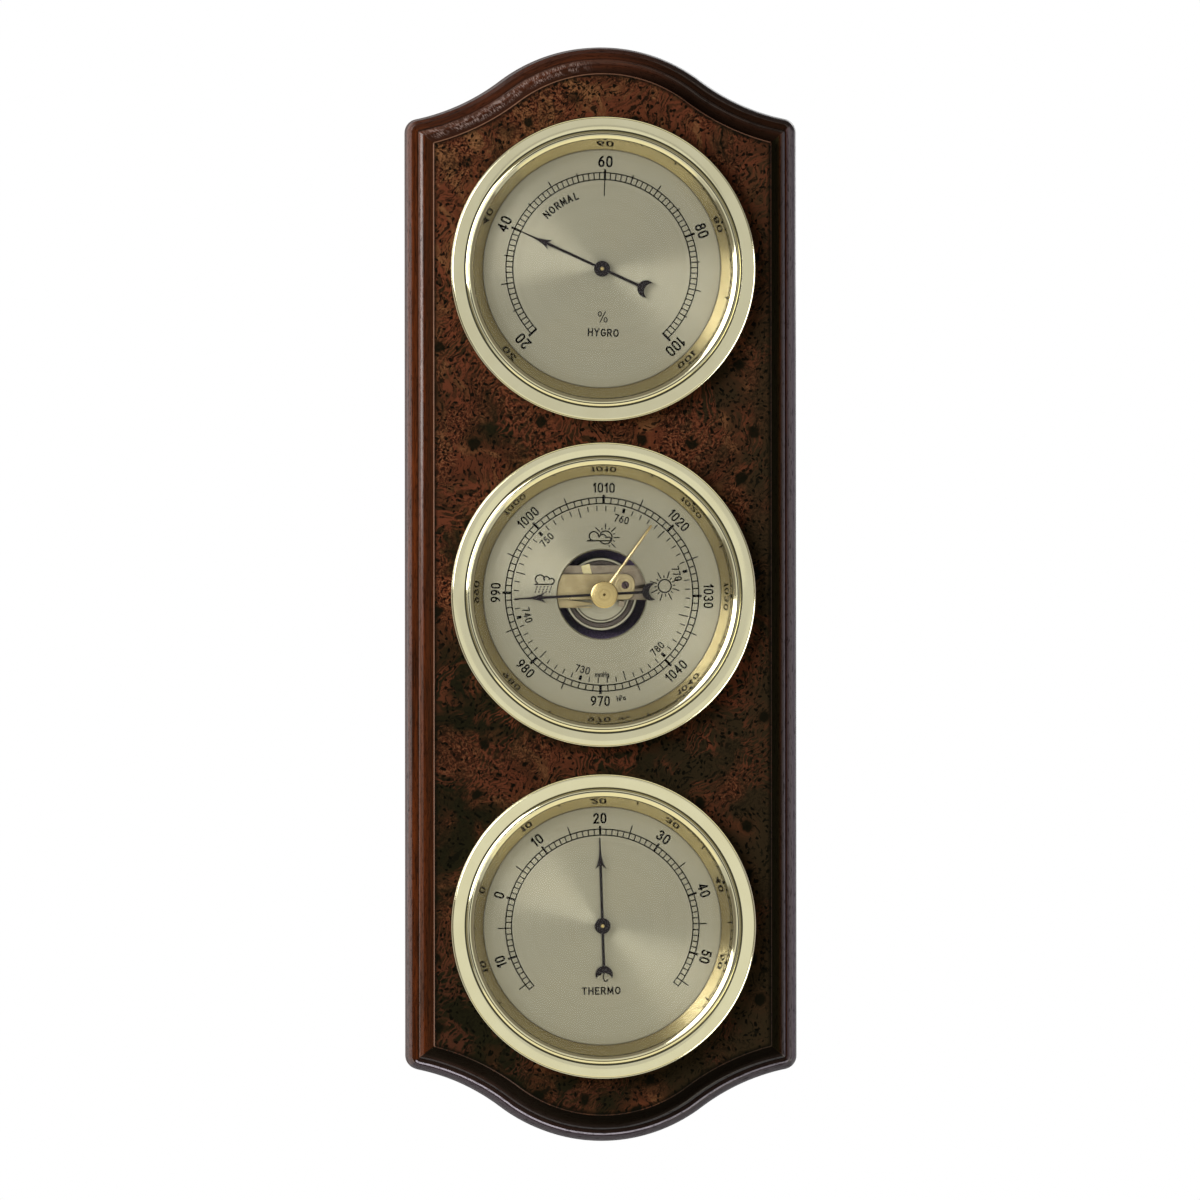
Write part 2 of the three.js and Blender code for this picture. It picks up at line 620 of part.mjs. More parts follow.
// Bent strip under the dial that carries the rear bearing of a coil movement
function coilBridge() {
  const half = COIL_BRIDGE_WIDTH / 2;
  const inside = half - COIL_BRIDGE_SHEET;
  const toe = half + COIL_BRIDGE_FOOT;
  const heel = dialBack - COIL_BRIDGE_SHEET;
  const right = [[half, coilBridgeBack], [half, heel], [toe, heel], [toe, dialBack], [inside, dialBack],
    [inside, coilBridgeFloor]];
  const left = right.map(([x, depth]) => [-x, depth]).reverse();
  const section = outlined([...right, ...left].map(([x, depth]) => [x, -depth]));
  const geometry = new THREE.ExtrudeGeometry(section, { depth: COIL_BRIDGE_HEIGHT, bevelEnabled: false });
  const strip = closed(geometry.translate(0, 0, -COIL_BRIDGE_HEIGHT / 2));
  return cut(strip, disc(arborHole, coilBridgeBack - 1, coilBridgeFloor + 1, SMALL_SIDES));
}

// Corrugated vacuum capsule on its boss, with the stud that drives the movement
function capsule() {
  const rim = CAPSULE_RIDGE_HEIGHT;
  return turned([
    [0, caseFloor],
    [CAPSULE_BOSS_RADIUS, caseFloor],
    [CAPSULE_BOSS_RADIUS, capsuleBack],
    [CAPSULE_RADIUS - rim, capsuleBack],
    [CAPSULE_RADIUS, capsuleBack + rim],
    [CAPSULE_RADIUS, capsuleFront - rim],
    [CAPSULE_RADIUS - rim, capsuleFront],
    [CAPSULE_RADIUS - 2 * rim, capsuleFront - rim],
    [CAPSULE_RIDGE_RADIUS + rim, capsuleFront - rim],
    [CAPSULE_RIDGE_RADIUS, capsuleFront],
    [CAPSULE_RIDGE_RADIUS - rim, capsuleFront - rim],
    [CAPSULE_STUD_RADIUS, capsuleFront - rim],
    [CAPSULE_STUD_RADIUS, capsuleFront + CAPSULE_STUD_HEIGHT],
    [0, capsuleFront + CAPSULE_STUD_HEIGHT],
  ]);
}

// Post with a tenon that passes through the plate it carries
function post(x, z, radius, back, shoulder, end) {
  const profile = [[0, back], [radius, back], [radius, shoulder], [TENON_RADIUS, shoulder],
    [TENON_RADIUS, end], [0, end]];
  return turned(profile, SMALL_SIDES).translate(x, 0, z);
}

const framePostX = { left: -FRAME_POST_SPACING / 2, right: FRAME_POST_SPACING / 2 };
const tenonHole = TENON_RADIUS + RUNNING_GAP;
const armFootEdge = framePostX.left + FRAME_POST_RADIUS;
const bridgePostX = armFootEdge + BRIDGE_POST_GAP + BRIDGE_POST_RADIUS;

function framePlate() {
  const half = FRAME_PLATE_LENGTH / 2;
  const blank = box(-half, half, -BRIDGE_BOTTOM, FRAME_PLATE_TOP, framePlateBack, framePlateFront);
  const through = [framePlateBack - 1, framePlateFront + 1];
  const tenonHoles = Object.values(framePostX).map((x) => peg(x, FRAME_POST_RISE, tenonHole, ...through));
  const bearings = [peg(0, 0, arborHole, ...through), peg(PIVOT_X, PIVOT_Z, pivotHole, ...through)];
  return cut(blank, ...tenonHoles, ...bearings);
}

const bridgeMiddle = (BRIDGE_TOP - BRIDGE_BOTTOM) / 2;

function movementBridge() {
  const right = PIVOT_X + BRIDGE_CORNER;
  const outline = roundedRectangle(-BRIDGE_LEFT, right, -BRIDGE_BOTTOM, BRIDGE_TOP, BRIDGE_CORNER);
  const through = [bridgeBack - 1, bridgeFront + 1];
  return cut(plate(outline, bridgeBack, bridgeFront),
    peg(0, 0, arborHole, ...through),
    peg(PIVOT_X, PIVOT_Z, pivotHole, ...through),
    peg(bridgePostX, bridgeMiddle, tenonHole, ...through));
}

function sectorPivot() {
  const head = bridgeFront + PIVOT_HEAD_HEIGHT;
  const profile = [[0, framePlateBack], [PIVOT_RADIUS, framePlateBack], [PIVOT_RADIUS, bridgeFront],
    [PIVOT_HEAD_RADIUS, bridgeFront], [PIVOT_HEAD_RADIUS, head], [0, head]];
  const half = PIVOT_SLOT_WIDTH / 2;
  const reach = PIVOT_HEAD_RADIUS + 1;
  const slot = box(-half, half, -reach, reach, head - PIVOT_SLOT_DEPTH, head + 1);
  return cut(turned(profile, SMALL_SIDES), slot).translate(PIVOT_X, 0, PIVOT_Z);
}

// Corners of evenly spaced teeth; the first tooth is centred on the start angle
function teeth(pitchRadius, pitchAngle, start, count) {
  const tip = pitchRadius + TOOTH_ADDENDUM * toothModule;
  const root = pitchRadius - TOOTH_DEDENDUM * toothModule;
  const flank = [[root, -0.27], [tip, -0.12], [tip, 0.12], [root, 0.27]];
  return Array.from({ length: count }, (_, i) => flank.map(([radius, share]) => {
    const angle = start + pitchAngle * (i + share);
    return [radius * Math.cos(angle), radius * Math.sin(angle)];
  })).flat();
}

function barometerArbor() {
  const shaft = disc(ARBOR_RADIUS, framePlateBack, arborFront, SMALL_SIDES);
  const outline = teeth(pinionRadius, 2 * Math.PI / PINION_TEETH, pivotAngle, PINION_TEETH);
  return join(shaft, plate(outlined(outline), gearBack, gearFront));
}

// Toothed sector drawn about its pivot, in mesh with the pinion at rest
function toothedSector() {
  const pitchAngle = 2 * Math.PI / (PINION_TEETH * GEAR_RATIO);
  const contact = Math.PI + pivotAngle;
  const before = Math.ceil((POINTER_TURN_UP / GEAR_RATIO + SECTOR_SPARE) / pitchAngle);
  const after = Math.ceil((POINTER_TURN_DOWN / GEAR_RATIO + SECTOR_SPARE) / pitchAngle);
  const rim = teeth(sectorRadius, pitchAngle, contact - pitchAngle * (before - 0.5), before + after);
  const web = plate(outlined([[0, 0], ...rim]), gearBack, gearFront);
  const hub = disc(SECTOR_HUB_RADIUS, framePlateFront + FIT_GAP, bridgeBack - FIT_GAP, SMALL_SIDES);
  const tailEnd = SECTOR_TAIL_LENGTH + LINK_CLAMP_SIZE / 2;
  const tail = box(0, tailEnd, -SECTOR_TAIL_HALF_WIDTH, SECTOR_TAIL_HALF_WIDTH, gearBack, gearFront);
  const arms = join(web, tail.rotateY(-SECTOR_TAIL_ANGLE), hub);
  return cut(arms, disc(pivotHole, framePlateFront, bridgeBack, SMALL_SIDES));
}

function linkClamp() {
  const half = LINK_CLAMP_SIZE / 2;
  return box(SECTOR_TAIL_LENGTH - half, SECTOR_TAIL_LENGTH + half, -half, half, gearFront,
    gearFront + LINK_CLAMP_HEIGHT).rotateY(-SECTOR_TAIL_ANGLE);
}

// Split tapering arm on the frame plate, held by the left post's tenon
function compensatingArm() {
  const front = framePlateFront + ARM_SHEET;
  const left = -FRAME_PLATE_LENGTH / 2;
  const shape = outlined([
    [left, -ARM_DROP],
    [ARM_TIP_X, -ARM_DROP],
    [ARM_TIP_X, -ARM_DROP + ARM_TIP_WIDTH],
    [armFootEdge, -ARM_DROP + ARM_ROOT_WIDTH],
    [armFootEdge, FRAME_POST_RISE + FRAME_POST_RADIUS],
    [left, FRAME_POST_RISE + FRAME_POST_RADIUS],
  ]);
  const slitFloor = -ARM_DROP + (ARM_TIP_WIDTH - ARM_SLIT_WIDTH) / 2;
  const slit = outlined([
    [ARM_TIP_X - ARM_SLIT_LENGTH, slitFloor],
    [ARM_TIP_X + 1, slitFloor],
    [ARM_TIP_X + 1, slitFloor + ARM_SLIT_WIDTH],
  ]);
  return cut(plate(shape, framePlateFront, front),
    plate(slit, framePlateFront - 1, front + 1),
    peg(framePostX.left, FRAME_POST_RISE, tenonHole, framePlateFront - 1, front + 1));
}

function hairspringRegulator() {
  const half = REGULATOR_WIDTH / 2;
  const front = framePlateFront + REGULATOR_SHEET;
  const tab = box(-half, half, -REGULATOR_WIDTH, REGULATOR_PROUD, framePlateFront, front);
  return tab.rotateY(-REGULATOR_TILT).translate(REGULATOR_X, 0, BRIDGE_TOP);
}

// Knob on the glass, with the shaft that carries the marker hand behind it
function setKnob() {
  const neckBack = glassFront + FIT_GAP;
  const headBack = neckBack + KNOB_NECK_HEIGHT;
  const headFront = headBack + KNOB_HEAD_HEIGHT;
  const shaftBack = reflectorFront - MARKER_BELOW_GLASS - MARKER_THICKNESS;
  return turned([
    [0, shaftBack],
    [KNOB_SHAFT_RADIUS, shaftBack],
    [KNOB_SHAFT_RADIUS, neckBack],
    [KNOB_NECK_RADIUS, neckBack],
    [KNOB_NECK_RADIUS, headBack],
    [KNOB_RADIUS - KNOB_CHAMFER, headBack],
    [KNOB_RADIUS, headBack + KNOB_CHAMFER],
    [KNOB_RADIUS, headFront - KNOB_CHAMFER],
    [KNOB_RADIUS - KNOB_CHAMFER, headFront],
    [0, headFront],
  ], SIDES);
}

function markerHand() {
  const front = reflectorFront - MARKER_BELOW_GLASS;
  const back = front - MARKER_THICKNESS;
  const strip = outlined([
    [-MARKER_ROOT_HALF_WIDTH, 0],
    [MARKER_ROOT_HALF_WIDTH, 0],
    [MARKER_TIP_HALF_WIDTH, MARKER_LENGTH],
    [-MARKER_TIP_HALF_WIDTH, MARKER_LENGTH],
  ]);
  const hub = disc(MARKER_HUB_RADIUS, back, front, SMALL_SIDES);
  const hole = disc(KNOB_SHAFT_RADIUS + RUNNING_GAP, back - 1, front + 1, SMALL_SIDES);
  return cut(join(plate(strip, back, front), hub), hole);
}

// Adds one named sub-part with a material of its own
function add(parent, name, geometry, finish) {
  const mesh = new THREE.Mesh(geometry, new THREE.MeshStandardMaterial({ ...finish, flatShading: true }));
  mesh.name = name;
  parent.add(mesh);
  return mesh;
}

const station = new THREE.Group();
station.position.z = -hangingHeight;

function addBoard() {
  add(station, 'wood_board', woodBoard(), STAINED_WOOD);
  add(station, 'burl_veneer', burlVeneer(), BURL);
  add(station, 'hanger_plate', hangerPlate(), ZINC);
  add(station, 'hanger_screw_left', hangerScrew(hangerScrewX[0], 0, HANGER_SCREW_LENGTH), ZINC);
  add(station, 'hanger_screw_right', hangerScrew(hangerScrewX[1], 0, HANGER_SCREW_LENGTH), ZINC);
}

// The pieces that all three instruments share
function addInstrument(name, options) {
  const { adjusterX, adjusterZ, adjusterReach, dialHole, glassHole, pointerAngle } = options;
  const instrument = new THREE.Group();
  instrument.position.z = instrumentHeights[name];
  station.add(instrument);
  add(instrument, `${name}_case`, instrumentCase(adjusterX, adjusterZ), BRASS);
  add(instrument, `${name}_bezel`, bezel(), GILT);
  add(instrument, `${name}_reflector`, reflector(), MIRROR_GILT);
  const pane = glassHole > 0
    ? ring(glassHole, glassRadius, reflectorFront, glassFront)
    : disc(glassRadius, reflectorFront, glassFront);
  add(instrument, `${name}_glass`, pane, CLEAR);
  add(instrument, `${name}_dial`, ring(dialHole, dialRadius, dialBack, dialFront), CHAMPAGNE);
  add(instrument, `${name}_pointer`, pointer(), BLACK).rotation.y = pointerAngle;
  add(instrument, `${name}_adjuster`, adjuster(adjusterX, adjusterZ, adjusterReach), BRASS);
  return instrument;
}

// A pointer turned directly by a coil between its arbor and a bridge under the dial
function addCoilInstrument(name, pointerAngle, coilName, turns, strip, coilFinish) {
  const instrument = addInstrument(name, {
    adjusterX: 0,
    adjusterZ: 0,
    adjusterReach: coilBridgeBack - FIT_GAP,
    dialHole: DIAL_HOLE_RADIUS,
    glassHole: 0,
    pointerAngle,
  });
  const coilBack = coilBridgeFloor + COIL_LIFT;
  add(instrument, `${name}_arbor`, disc(ARBOR_RADIUS, coilBridgeBack, arborFront, SMALL_SIDES), BRASS);
  add(instrument, `${name}_bridge`, coilBridge(), STEEL);
  const pitch = (coilOuterRadius - strip - coilInnerRadius) / turns;
  const coil = spiral(coilName, coilInnerRadius, pitch, turns, strip, coilBack, coilBack + COIL_HEIGHT);
  add(instrument, coilName, coil, coilFinish);
}

function addBarometer() {
  const barometer = addInstrument('barometer', {
    adjusterX: BAROMETER_ADJUSTER_X,
    adjusterZ: FRAME_POST_RISE,
    adjusterReach: framePlateBack - FIT_GAP,
    dialHole: WINDOW_RADIUS,
    glassHole: KNOB_SHAFT_RADIUS + RUNNING_GAP,
    pointerAngle: BAROMETER_ANGLE,
  });
  add(barometer, 'barometer_arbor', barometerArbor(), BRASS);
  add(barometer, 'aneroid_capsule', capsule(), CAPSULE_METAL);
  add(barometer, 'frame_plate', framePlate(), STEEL);
  const armFront = framePlateFront + ARM_SHEET;
  const postEnds = { left: armFront + TENON_PROUD, right: framePlateFront + TENON_PROUD };
  for (const [side, x] of Object.entries(framePostX)) {
    const geometry = post(x, FRAME_POST_RISE, FRAME_POST_RADIUS, caseFloor, framePlateBack, postEnds[side]);
    add(barometer, `frame_post_${side}`, geometry, BRASS);
  }
  add(barometer, 'movement_bridge', movementBridge(), BRASS);
  const bridgePost = post(bridgePostX, bridgeMiddle, BRIDGE_POST_RADIUS, framePlateFront, bridgeBack,
    bridgeFront + TENON_PROUD);
  add(barometer, 'bridge_post', bridgePost, BRASS);
  add(barometer, 'sector_pivot', sectorPivot(), STEEL);
  const sectorGroup = new THREE.Group();
  sectorGroup.position.set(PIVOT_X, 0, PIVOT_Z);
  barometer.add(sectorGroup);
  add(sectorGroup, 'toothed_sector', toothedSector(), BRASS);
  add(sectorGroup, 'link_clamp', linkClamp(), STEEL);
  add(barometer, 'compensating_arm', compensatingArm(), BRASS);
  const springBack = bridgeFront + FIT_GAP;
  const hairspring = spiral('hairspring', HAIRSPRING_INNER_RADIUS, HAIRSPRING_PITCH, HAIRSPRING_TURNS,
    HAIRSPRING_STRIP, springBack, springBack + HAIRSPRING_HEIGHT);
  add(barometer, 'hairspring', hairspring, STEEL);
  add(barometer, 'hairspring_regulator', hairspringRegulator(), BRASS);
  add(barometer, 'set_knob', setKnob(), BRASS);
  add(barometer, 'marker_hand', markerHand(), BRASS).rotation.y = MARKER_ANGLE;
}

addBoard();
addCoilInstrument('hygrometer', HYGROMETER_ANGLE, 'hygroscopic_coil', HYGRO_TURNS, HYGRO_STRIP, HYGRO_FOIL);
addBarometer();
addCoilInstrument('thermometer', THERMOMETER_ANGLE, 'bimetal_coil', BIMETAL_TURNS, BIMETAL_STRIP, STEEL);

export default station;
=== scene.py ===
"""Looks of a wall weather station: three brass-rimmed instruments in a moulded board faced with burl.

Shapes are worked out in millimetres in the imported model's frame: +X to the right, +Z up, the wall at y = 0.
A depth is a distance in front of the wall, so a point at depth d has y = -d.
An angle on a dial is in degrees, clockwise from straight up.
"""

import math

import bmesh
import bpy
import numpy as np
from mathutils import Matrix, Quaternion, Vector
from mathutils.geometry import tessellate_polygon


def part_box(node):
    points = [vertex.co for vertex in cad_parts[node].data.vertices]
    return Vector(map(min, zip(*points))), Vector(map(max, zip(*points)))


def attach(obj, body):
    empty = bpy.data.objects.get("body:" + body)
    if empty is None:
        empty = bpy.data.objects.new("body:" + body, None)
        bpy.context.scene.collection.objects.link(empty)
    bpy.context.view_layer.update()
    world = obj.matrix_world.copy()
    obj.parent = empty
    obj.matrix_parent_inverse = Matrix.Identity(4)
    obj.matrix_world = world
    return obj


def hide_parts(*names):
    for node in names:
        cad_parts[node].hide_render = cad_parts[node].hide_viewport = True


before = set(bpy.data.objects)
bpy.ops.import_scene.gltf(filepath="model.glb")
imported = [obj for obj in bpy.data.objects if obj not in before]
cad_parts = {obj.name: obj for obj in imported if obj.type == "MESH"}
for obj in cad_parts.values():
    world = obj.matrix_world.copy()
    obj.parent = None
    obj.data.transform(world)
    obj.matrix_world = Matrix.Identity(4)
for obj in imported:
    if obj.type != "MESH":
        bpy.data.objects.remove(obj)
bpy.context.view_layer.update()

MM = 0.001
DIALS = ("hygrometer", "barometer", "thermometer")

# Sides of round pieces and holes
SIDES = 192
SMALL_SIDES = 48
MIRROR_SIDES = 256
CAPSULE_SIDES = 128
HUB_SIDES = 64
HOLE_SIDES = 32
CLOTH_SIDES = 96

# Bends in degrees from which an edge is shaded sharp
SHARP_ANGLE = 32
BOARD_SHARP_ANGLE = 24
TURNED_SHARP_ANGLE = 40
BLADE_SHARP_ANGLE = 20

# Least shares that keep mitres short at sharp corners, of an outline and of a pen line
OUTLINE_MITRE = 0.4
PEN_MITRE = 0.7

# Board: its outline, then its edge from the back to the raised field
CROWN_RADIUS = 56.0
CROWN_ANGLE = math.radians(37.1)
SWEEP_RADIUS = 71.0
SHOULDER_RADIUS = 4.7
MITRE_RADIUS = 0.5
BACK_CHAMFER = 0.4
ROUNDOVER_RADIUS = 3.9
RIDGE_WIDTH = 1.2
RIDGE_HEIGHT = 1.0
COVE_RADIUS = 3.6
COVE_WIDTH = 3.0
COVE_DEPTH = COVE_RADIUS - 0.2
ARRIS_HEIGHT = 0.2
FIELD_INSET = ROUNDOVER_RADIUS + RIDGE_WIDTH + COVE_RADIUS

# The ridge between roundover and cove as inset, height and tone
RIDGE = [(0.05, 0.14, -0.7), (0.12, 0.3, 0.5), (0.5, 0.62, 1.0), (1.0, 0.92, 1.0), (1.5, 1.12, 0.5)]

# The veneer's rim as inset, drop from the front and tone
VENEER_RIM = [(0.0, 0.3, 0.0), (0.35, 0.0, 0.0), (0.4, 0.0, -1.0), (1.9, 0.0, 0.0)]

# Keyhole hanger
KEYHOLE_RADIUS = 4.2
KEYHOLE_DROP = 6.6
SLOT_HALF_WIDTH = 2.3
POCKET_HALF_WIDTH = 6.0
POCKET_WALL = 1.4
POCKET_DEPTH = 5.0
POCKET_CORNER = 1.5
HANGER_CORNER = 3.0
FIT_GAP = 0.3

# Instruments
BORE_RADIUS = 45.6
BORE_CHAMFER = 0.4
SIGHT_RADIUS = 43.7
FLAT_INNER_RADIUS = 47.0
SKIRT_RADIUS = 50.6
BARREL_RADIUS = 42.5
MOUTH_RADIUS = 44.5
CASE_SHEET = 0.8
MIRROR_FOOT = 40.3
MIRROR_SHEET = 0.5
WINDOW_RADIUS = 15.0
DIAL_HOLE = 1.6
SHAFT_HOLE = 1.65
ARBOR_RADIUS = 0.6
ARBOR_HOLE = 0.75
COIL_INNER_RADIUS = 0.9

# Print: half its thickness, the bend that parts a pen line, where numerals flip, points of a scale line
PRINT_HEIGHT = 0.04
BEND_COSINE = 0.6
LOWER_ANGLE = 91
TRACK_POINTS = 145

# Two bands inside a bezel's flat as inset, drop and tone, with grooves beside them darkened as soiling and
# painted shade
BANDS = [
    (0.12, 0.8, -1.0), (0.3, 0.8, -0.9), (0.38, 0.72, -0.2), (0.5, 0.66, 0.0), (0.85, 0.47, 0.0),
    (1.2, 0.31, 0.0), (1.32, 0.28, -0.3), (1.4, 0.5, -1.0), (1.54, 0.5, -1.0), (1.62, 0.26, -0.3),
    (1.7, 0.22, 0.0), (1.85, 0.24, 0.0), (2.2, 0.4, 0.0), (2.6, 0.6, 0.0), (2.95, 0.79, 0.0),
    (3.05, 0.86, -0.4), (3.16, 1.1, -0.9),
]

# Barometer's hairspring and set knob
HAIRSPRING_TURNS = 3
HAIRSPRING_PITCH = 0.62
HAIRSPRING_INNER_RADIUS = 1.3
HAIRSPRING_STRIP = 0.18
KNOB_SIDES = 240
KNOB_TEETH = 60
KNOB_TOOTH_DEPTH = 0.14
KNOB_RIM_RADIUS = 4.6
KNOB_DIMPLE_RADIUS = 0.45

# How far each dial plate and each hand is turned
DIAL_TURN = {"hygrometer": 2.0, "barometer": 1.0, "thermometer": -1.3}
HAND_TURN = {"hygrometer": -65.3, "barometer": -93.0, "thermometer": -1.8}
MARKER_TURN = 35.4

# Floor, and the cloths and cards round the set
FLOOR_HEIGHT = -560
FLOOR_REACH = 4000
CLOTH_RADIUS = 850
CLOTH_MIDDLE = (0, -174)
CLOTH_FRONT = 900
CLOTH_SEAM = 280
CLOTH_BACK = -400
LOW_CARD_HEIGHT = -550

# Camera: view in degrees, roll in radians, sensor in millimetres, the rest in metres
CAMERA_AZIMUTH = -2.8
CAMERA_ELEVATION = 0.5
CAMERA_DISTANCE = 16.0
CAMERA_ROLL = -0.0008
SENSOR_WIDTH = 36.0
PICTURE_WIDTH = 0.405
PICTURE_SHIFT = (0.00118, 0.00182)


def box(node):
    """Lowest and highest corner of a CAD node."""
    low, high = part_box(node)
    return np.array(low) / MM, np.array(high) / MM


def depths(node):
    """Depth of a CAD node's back and of its front."""
    low, high = box(node)
    return -high[1], -low[1]


def reach(node):
    """Radius of a round CAD node."""
    low, high = box(node)
    return (high[2] - low[2]) / 2


def middle(node):
    """Middle of a CAD node in x and z."""
    low, high = box(node)
    return (low[0] + high[0]) / 2, (low[2] + high[2]) / 2


AXIS = {name: (0.0, middle(f"{name}_bezel")[1]) for name in DIALS}


class Value:
    """A node's output that can be used in Python arithmetic; each operation adds a Math node."""

    def __init__(self, graph, socket):
        self.graph = graph
        self.socket = socket

    def out(self, name):
        """Another output of the same node."""
        return Value(self.graph, self.socket.node.outputs[name])

    def __add__(self, other):
        return self.graph.math("ADD", self, other)

    def __radd__(self, other):
        return self.graph.math("ADD", other, self)

    def __sub__(self, other):
        return self.graph.math("SUBTRACT", self, other)

    def __rsub__(self, other):
        return self.graph.math("SUBTRACT", other, self)

    def __mul__(self, other):
        return self.graph.math("MULTIPLY", self, other)

    def __rmul__(self, other):
        return self.graph.math("MULTIPLY", other, self)

    def __truediv__(self, other):
        return self.graph.math("DIVIDE", self, other)

    def __pow__(self, other):
        return self.graph.math("POWER", self, other)


class Graph:
    """A node tree that is written as expressions on values."""

    def __init__(self, tree):
        self.tree = tree
        tree.nodes.clear()

    def node(self, kind, settings=None, inputs=None, output=0):
        """Adds a node: its settings first, then the values or links of its sockets."""
        made = self.tree.nodes.new(kind)
        for key, value in (settings or {}).items():
            setattr(made, key, value)
        for key, value in (inputs or {}).items():
            if isinstance(value, Value):
                self.tree.links.new(value.socket, made.inputs[key])
            else:
                made.inputs[key].default_value = value
        return Value(self, made.outputs[output]) if len(made.outputs) else None

    def math(self, operation, *terms):
        """A Math node on numbers or values."""
        return self.node("ShaderNodeMath", {"operation": operation}, dict(enumerate(terms)))

    def vector(self, operation, *terms):
        """A Vector Math node."""
        return self.node("ShaderNodeVectorMath", {"operation": operation}, dict(enumerate(terms)))

    def scaled(self, vector, factor):
        """A vector times a number."""
        return self.node("ShaderNodeVectorMath", {"operation": "SCALE"}, {"Vector": vector, "Scale": factor})

    def place(self):
        """The shaded point in millimetres, in the object's frame."""
        return self.scaled(self.node("ShaderNodeTexCoord", output="Object"), 1 / MM)

    def stored(self, attribute, output="Vector"):
        """A value stored on the mesh."""
        return self.node("ShaderNodeAttribute", {"attribute_name": attribute}, output=output)

    def split(self, vector):
        """The three parts of a vector."""
        parts = self.node("ShaderNodeSeparateXYZ", inputs={0: vector})
        return parts, parts.out("Y"), parts.out("Z")

    def merged(self, x, y, z):
        """A vector from three parts."""
        return self.node("ShaderNodeCombineXYZ", inputs={0: x, 1: y, 2: z})

    def stretched(self, vector, scale, turn=(0, 0, 0)):
        """A pattern's coordinates, turned by degrees and then scaled along each axis."""
        angles = tuple(math.radians(angle) for angle in turn)
        turned = self.node("ShaderNodeMapping", inputs={"Vector": vector, "Rotation": angles})
        return self.node("ShaderNodeMapping", inputs={"Vector": turned, "Scale": scale})

    def noise(self, vector, scale, detail=2.0, roughness=0.5, distortion=0.0, output=0):
        """Cloudy noise; its second output is a colour."""
        inputs = {"Vector": vector, "Scale": scale, "Detail": detail, "Roughness": roughness}
        return self.node("ShaderNodeTexNoise", inputs={**inputs, "Distortion": distortion}, output=output)

    def cells(self, vector, scale, output="Distance", feature="F1"):
        """Cells about scattered points in a plane."""
        settings = {"feature": feature, "voronoi_dimensions": "2D"}
        return self.node("ShaderNodeTexVoronoi", settings, {"Vector": vector, "Scale": scale}, output)

    def fade(self, value, low, high, first=0.0, last=1.0):
        """Smooth change from first to last as the value goes from low to high."""
        settings = {"interpolation_type": "SMOOTHSTEP"}
        return self.node("ShaderNodeMapRange", settings, {0: value, 1: low, 2: high, 3: first, 4: last})

    def blend(self, factor, one, other):
        """A colour mixed from two."""
        return self.node("ShaderNodeMix", {"data_type": "RGBA"}, {0: factor, 6: one, 7: other}, 2)

    def relief(self, height, distance, strength=1.0):
        """Normal of a surface raised by a height, in shares of a distance in millimetres."""
        inputs = {"Height": height, "Distance": distance * MM, "Strength": strength}
        return self.node("ShaderNodeBump", inputs=inputs)

    def normal(self):
        """The surface's own normal."""
        return self.node("ShaderNodeNewGeometry", output="Normal")

    def leaned(self, direction, amount):
        """The surface's normal, leaned along a direction."""
        return self.vector("NORMALIZE", self.vector("ADD", self.normal(), self.scaled(direction, amount)))

    def ringed(self):
        """Place on a turned piece, distance from its axis, and direction away from the axis."""
        turned = self.stored("turned")
        x, _, z = self.split(turned)
        away = self.vector("NORMALIZE", self.merged(x, 0.0, z))
        return turned, (x * x + z * z) ** 0.5, away

    def layered(self, colour, *layers):
        """A colour under further ones, each given as its share and its screen colour."""
        for share, stain in layers:
            colour = self.blend(share, colour, tint(*stain))
        return colour

    def near(self, value, middle, far, close):
        """1 where a value is close to a middle one, and 0 where it is far from it."""
        return self.fade(self.math("ABSOLUTE", value - middle), far, close)

    def shade(self, **sockets):
        """Ends a material in one Principled shader; a socket's name is written with underscores."""
        inputs = {name.replace("_", " "): value for name, value in sockets.items()}
        shader = self.node("ShaderNodeBsdfPrincipled", inputs=inputs)
        self.node("ShaderNodeOutputMaterial", inputs={"Surface": shader})


def tint(red, green, blue):
    """Shader colour of a screen colour from 0 to 255."""
    shares = [channel / 255 for channel in (red, green, blue)]
    linear = [s / 12.92 if s <= 0.04045 else ((s + 0.055) / 1.055) ** 2.4 for s in shares]
    return (*linear, 1.0)


def new_finish(name):
    """A new material and its empty graph."""
    material = bpy.data.materials.new(name)
    material.use_nodes = True
    return material, Graph(material.node_tree)


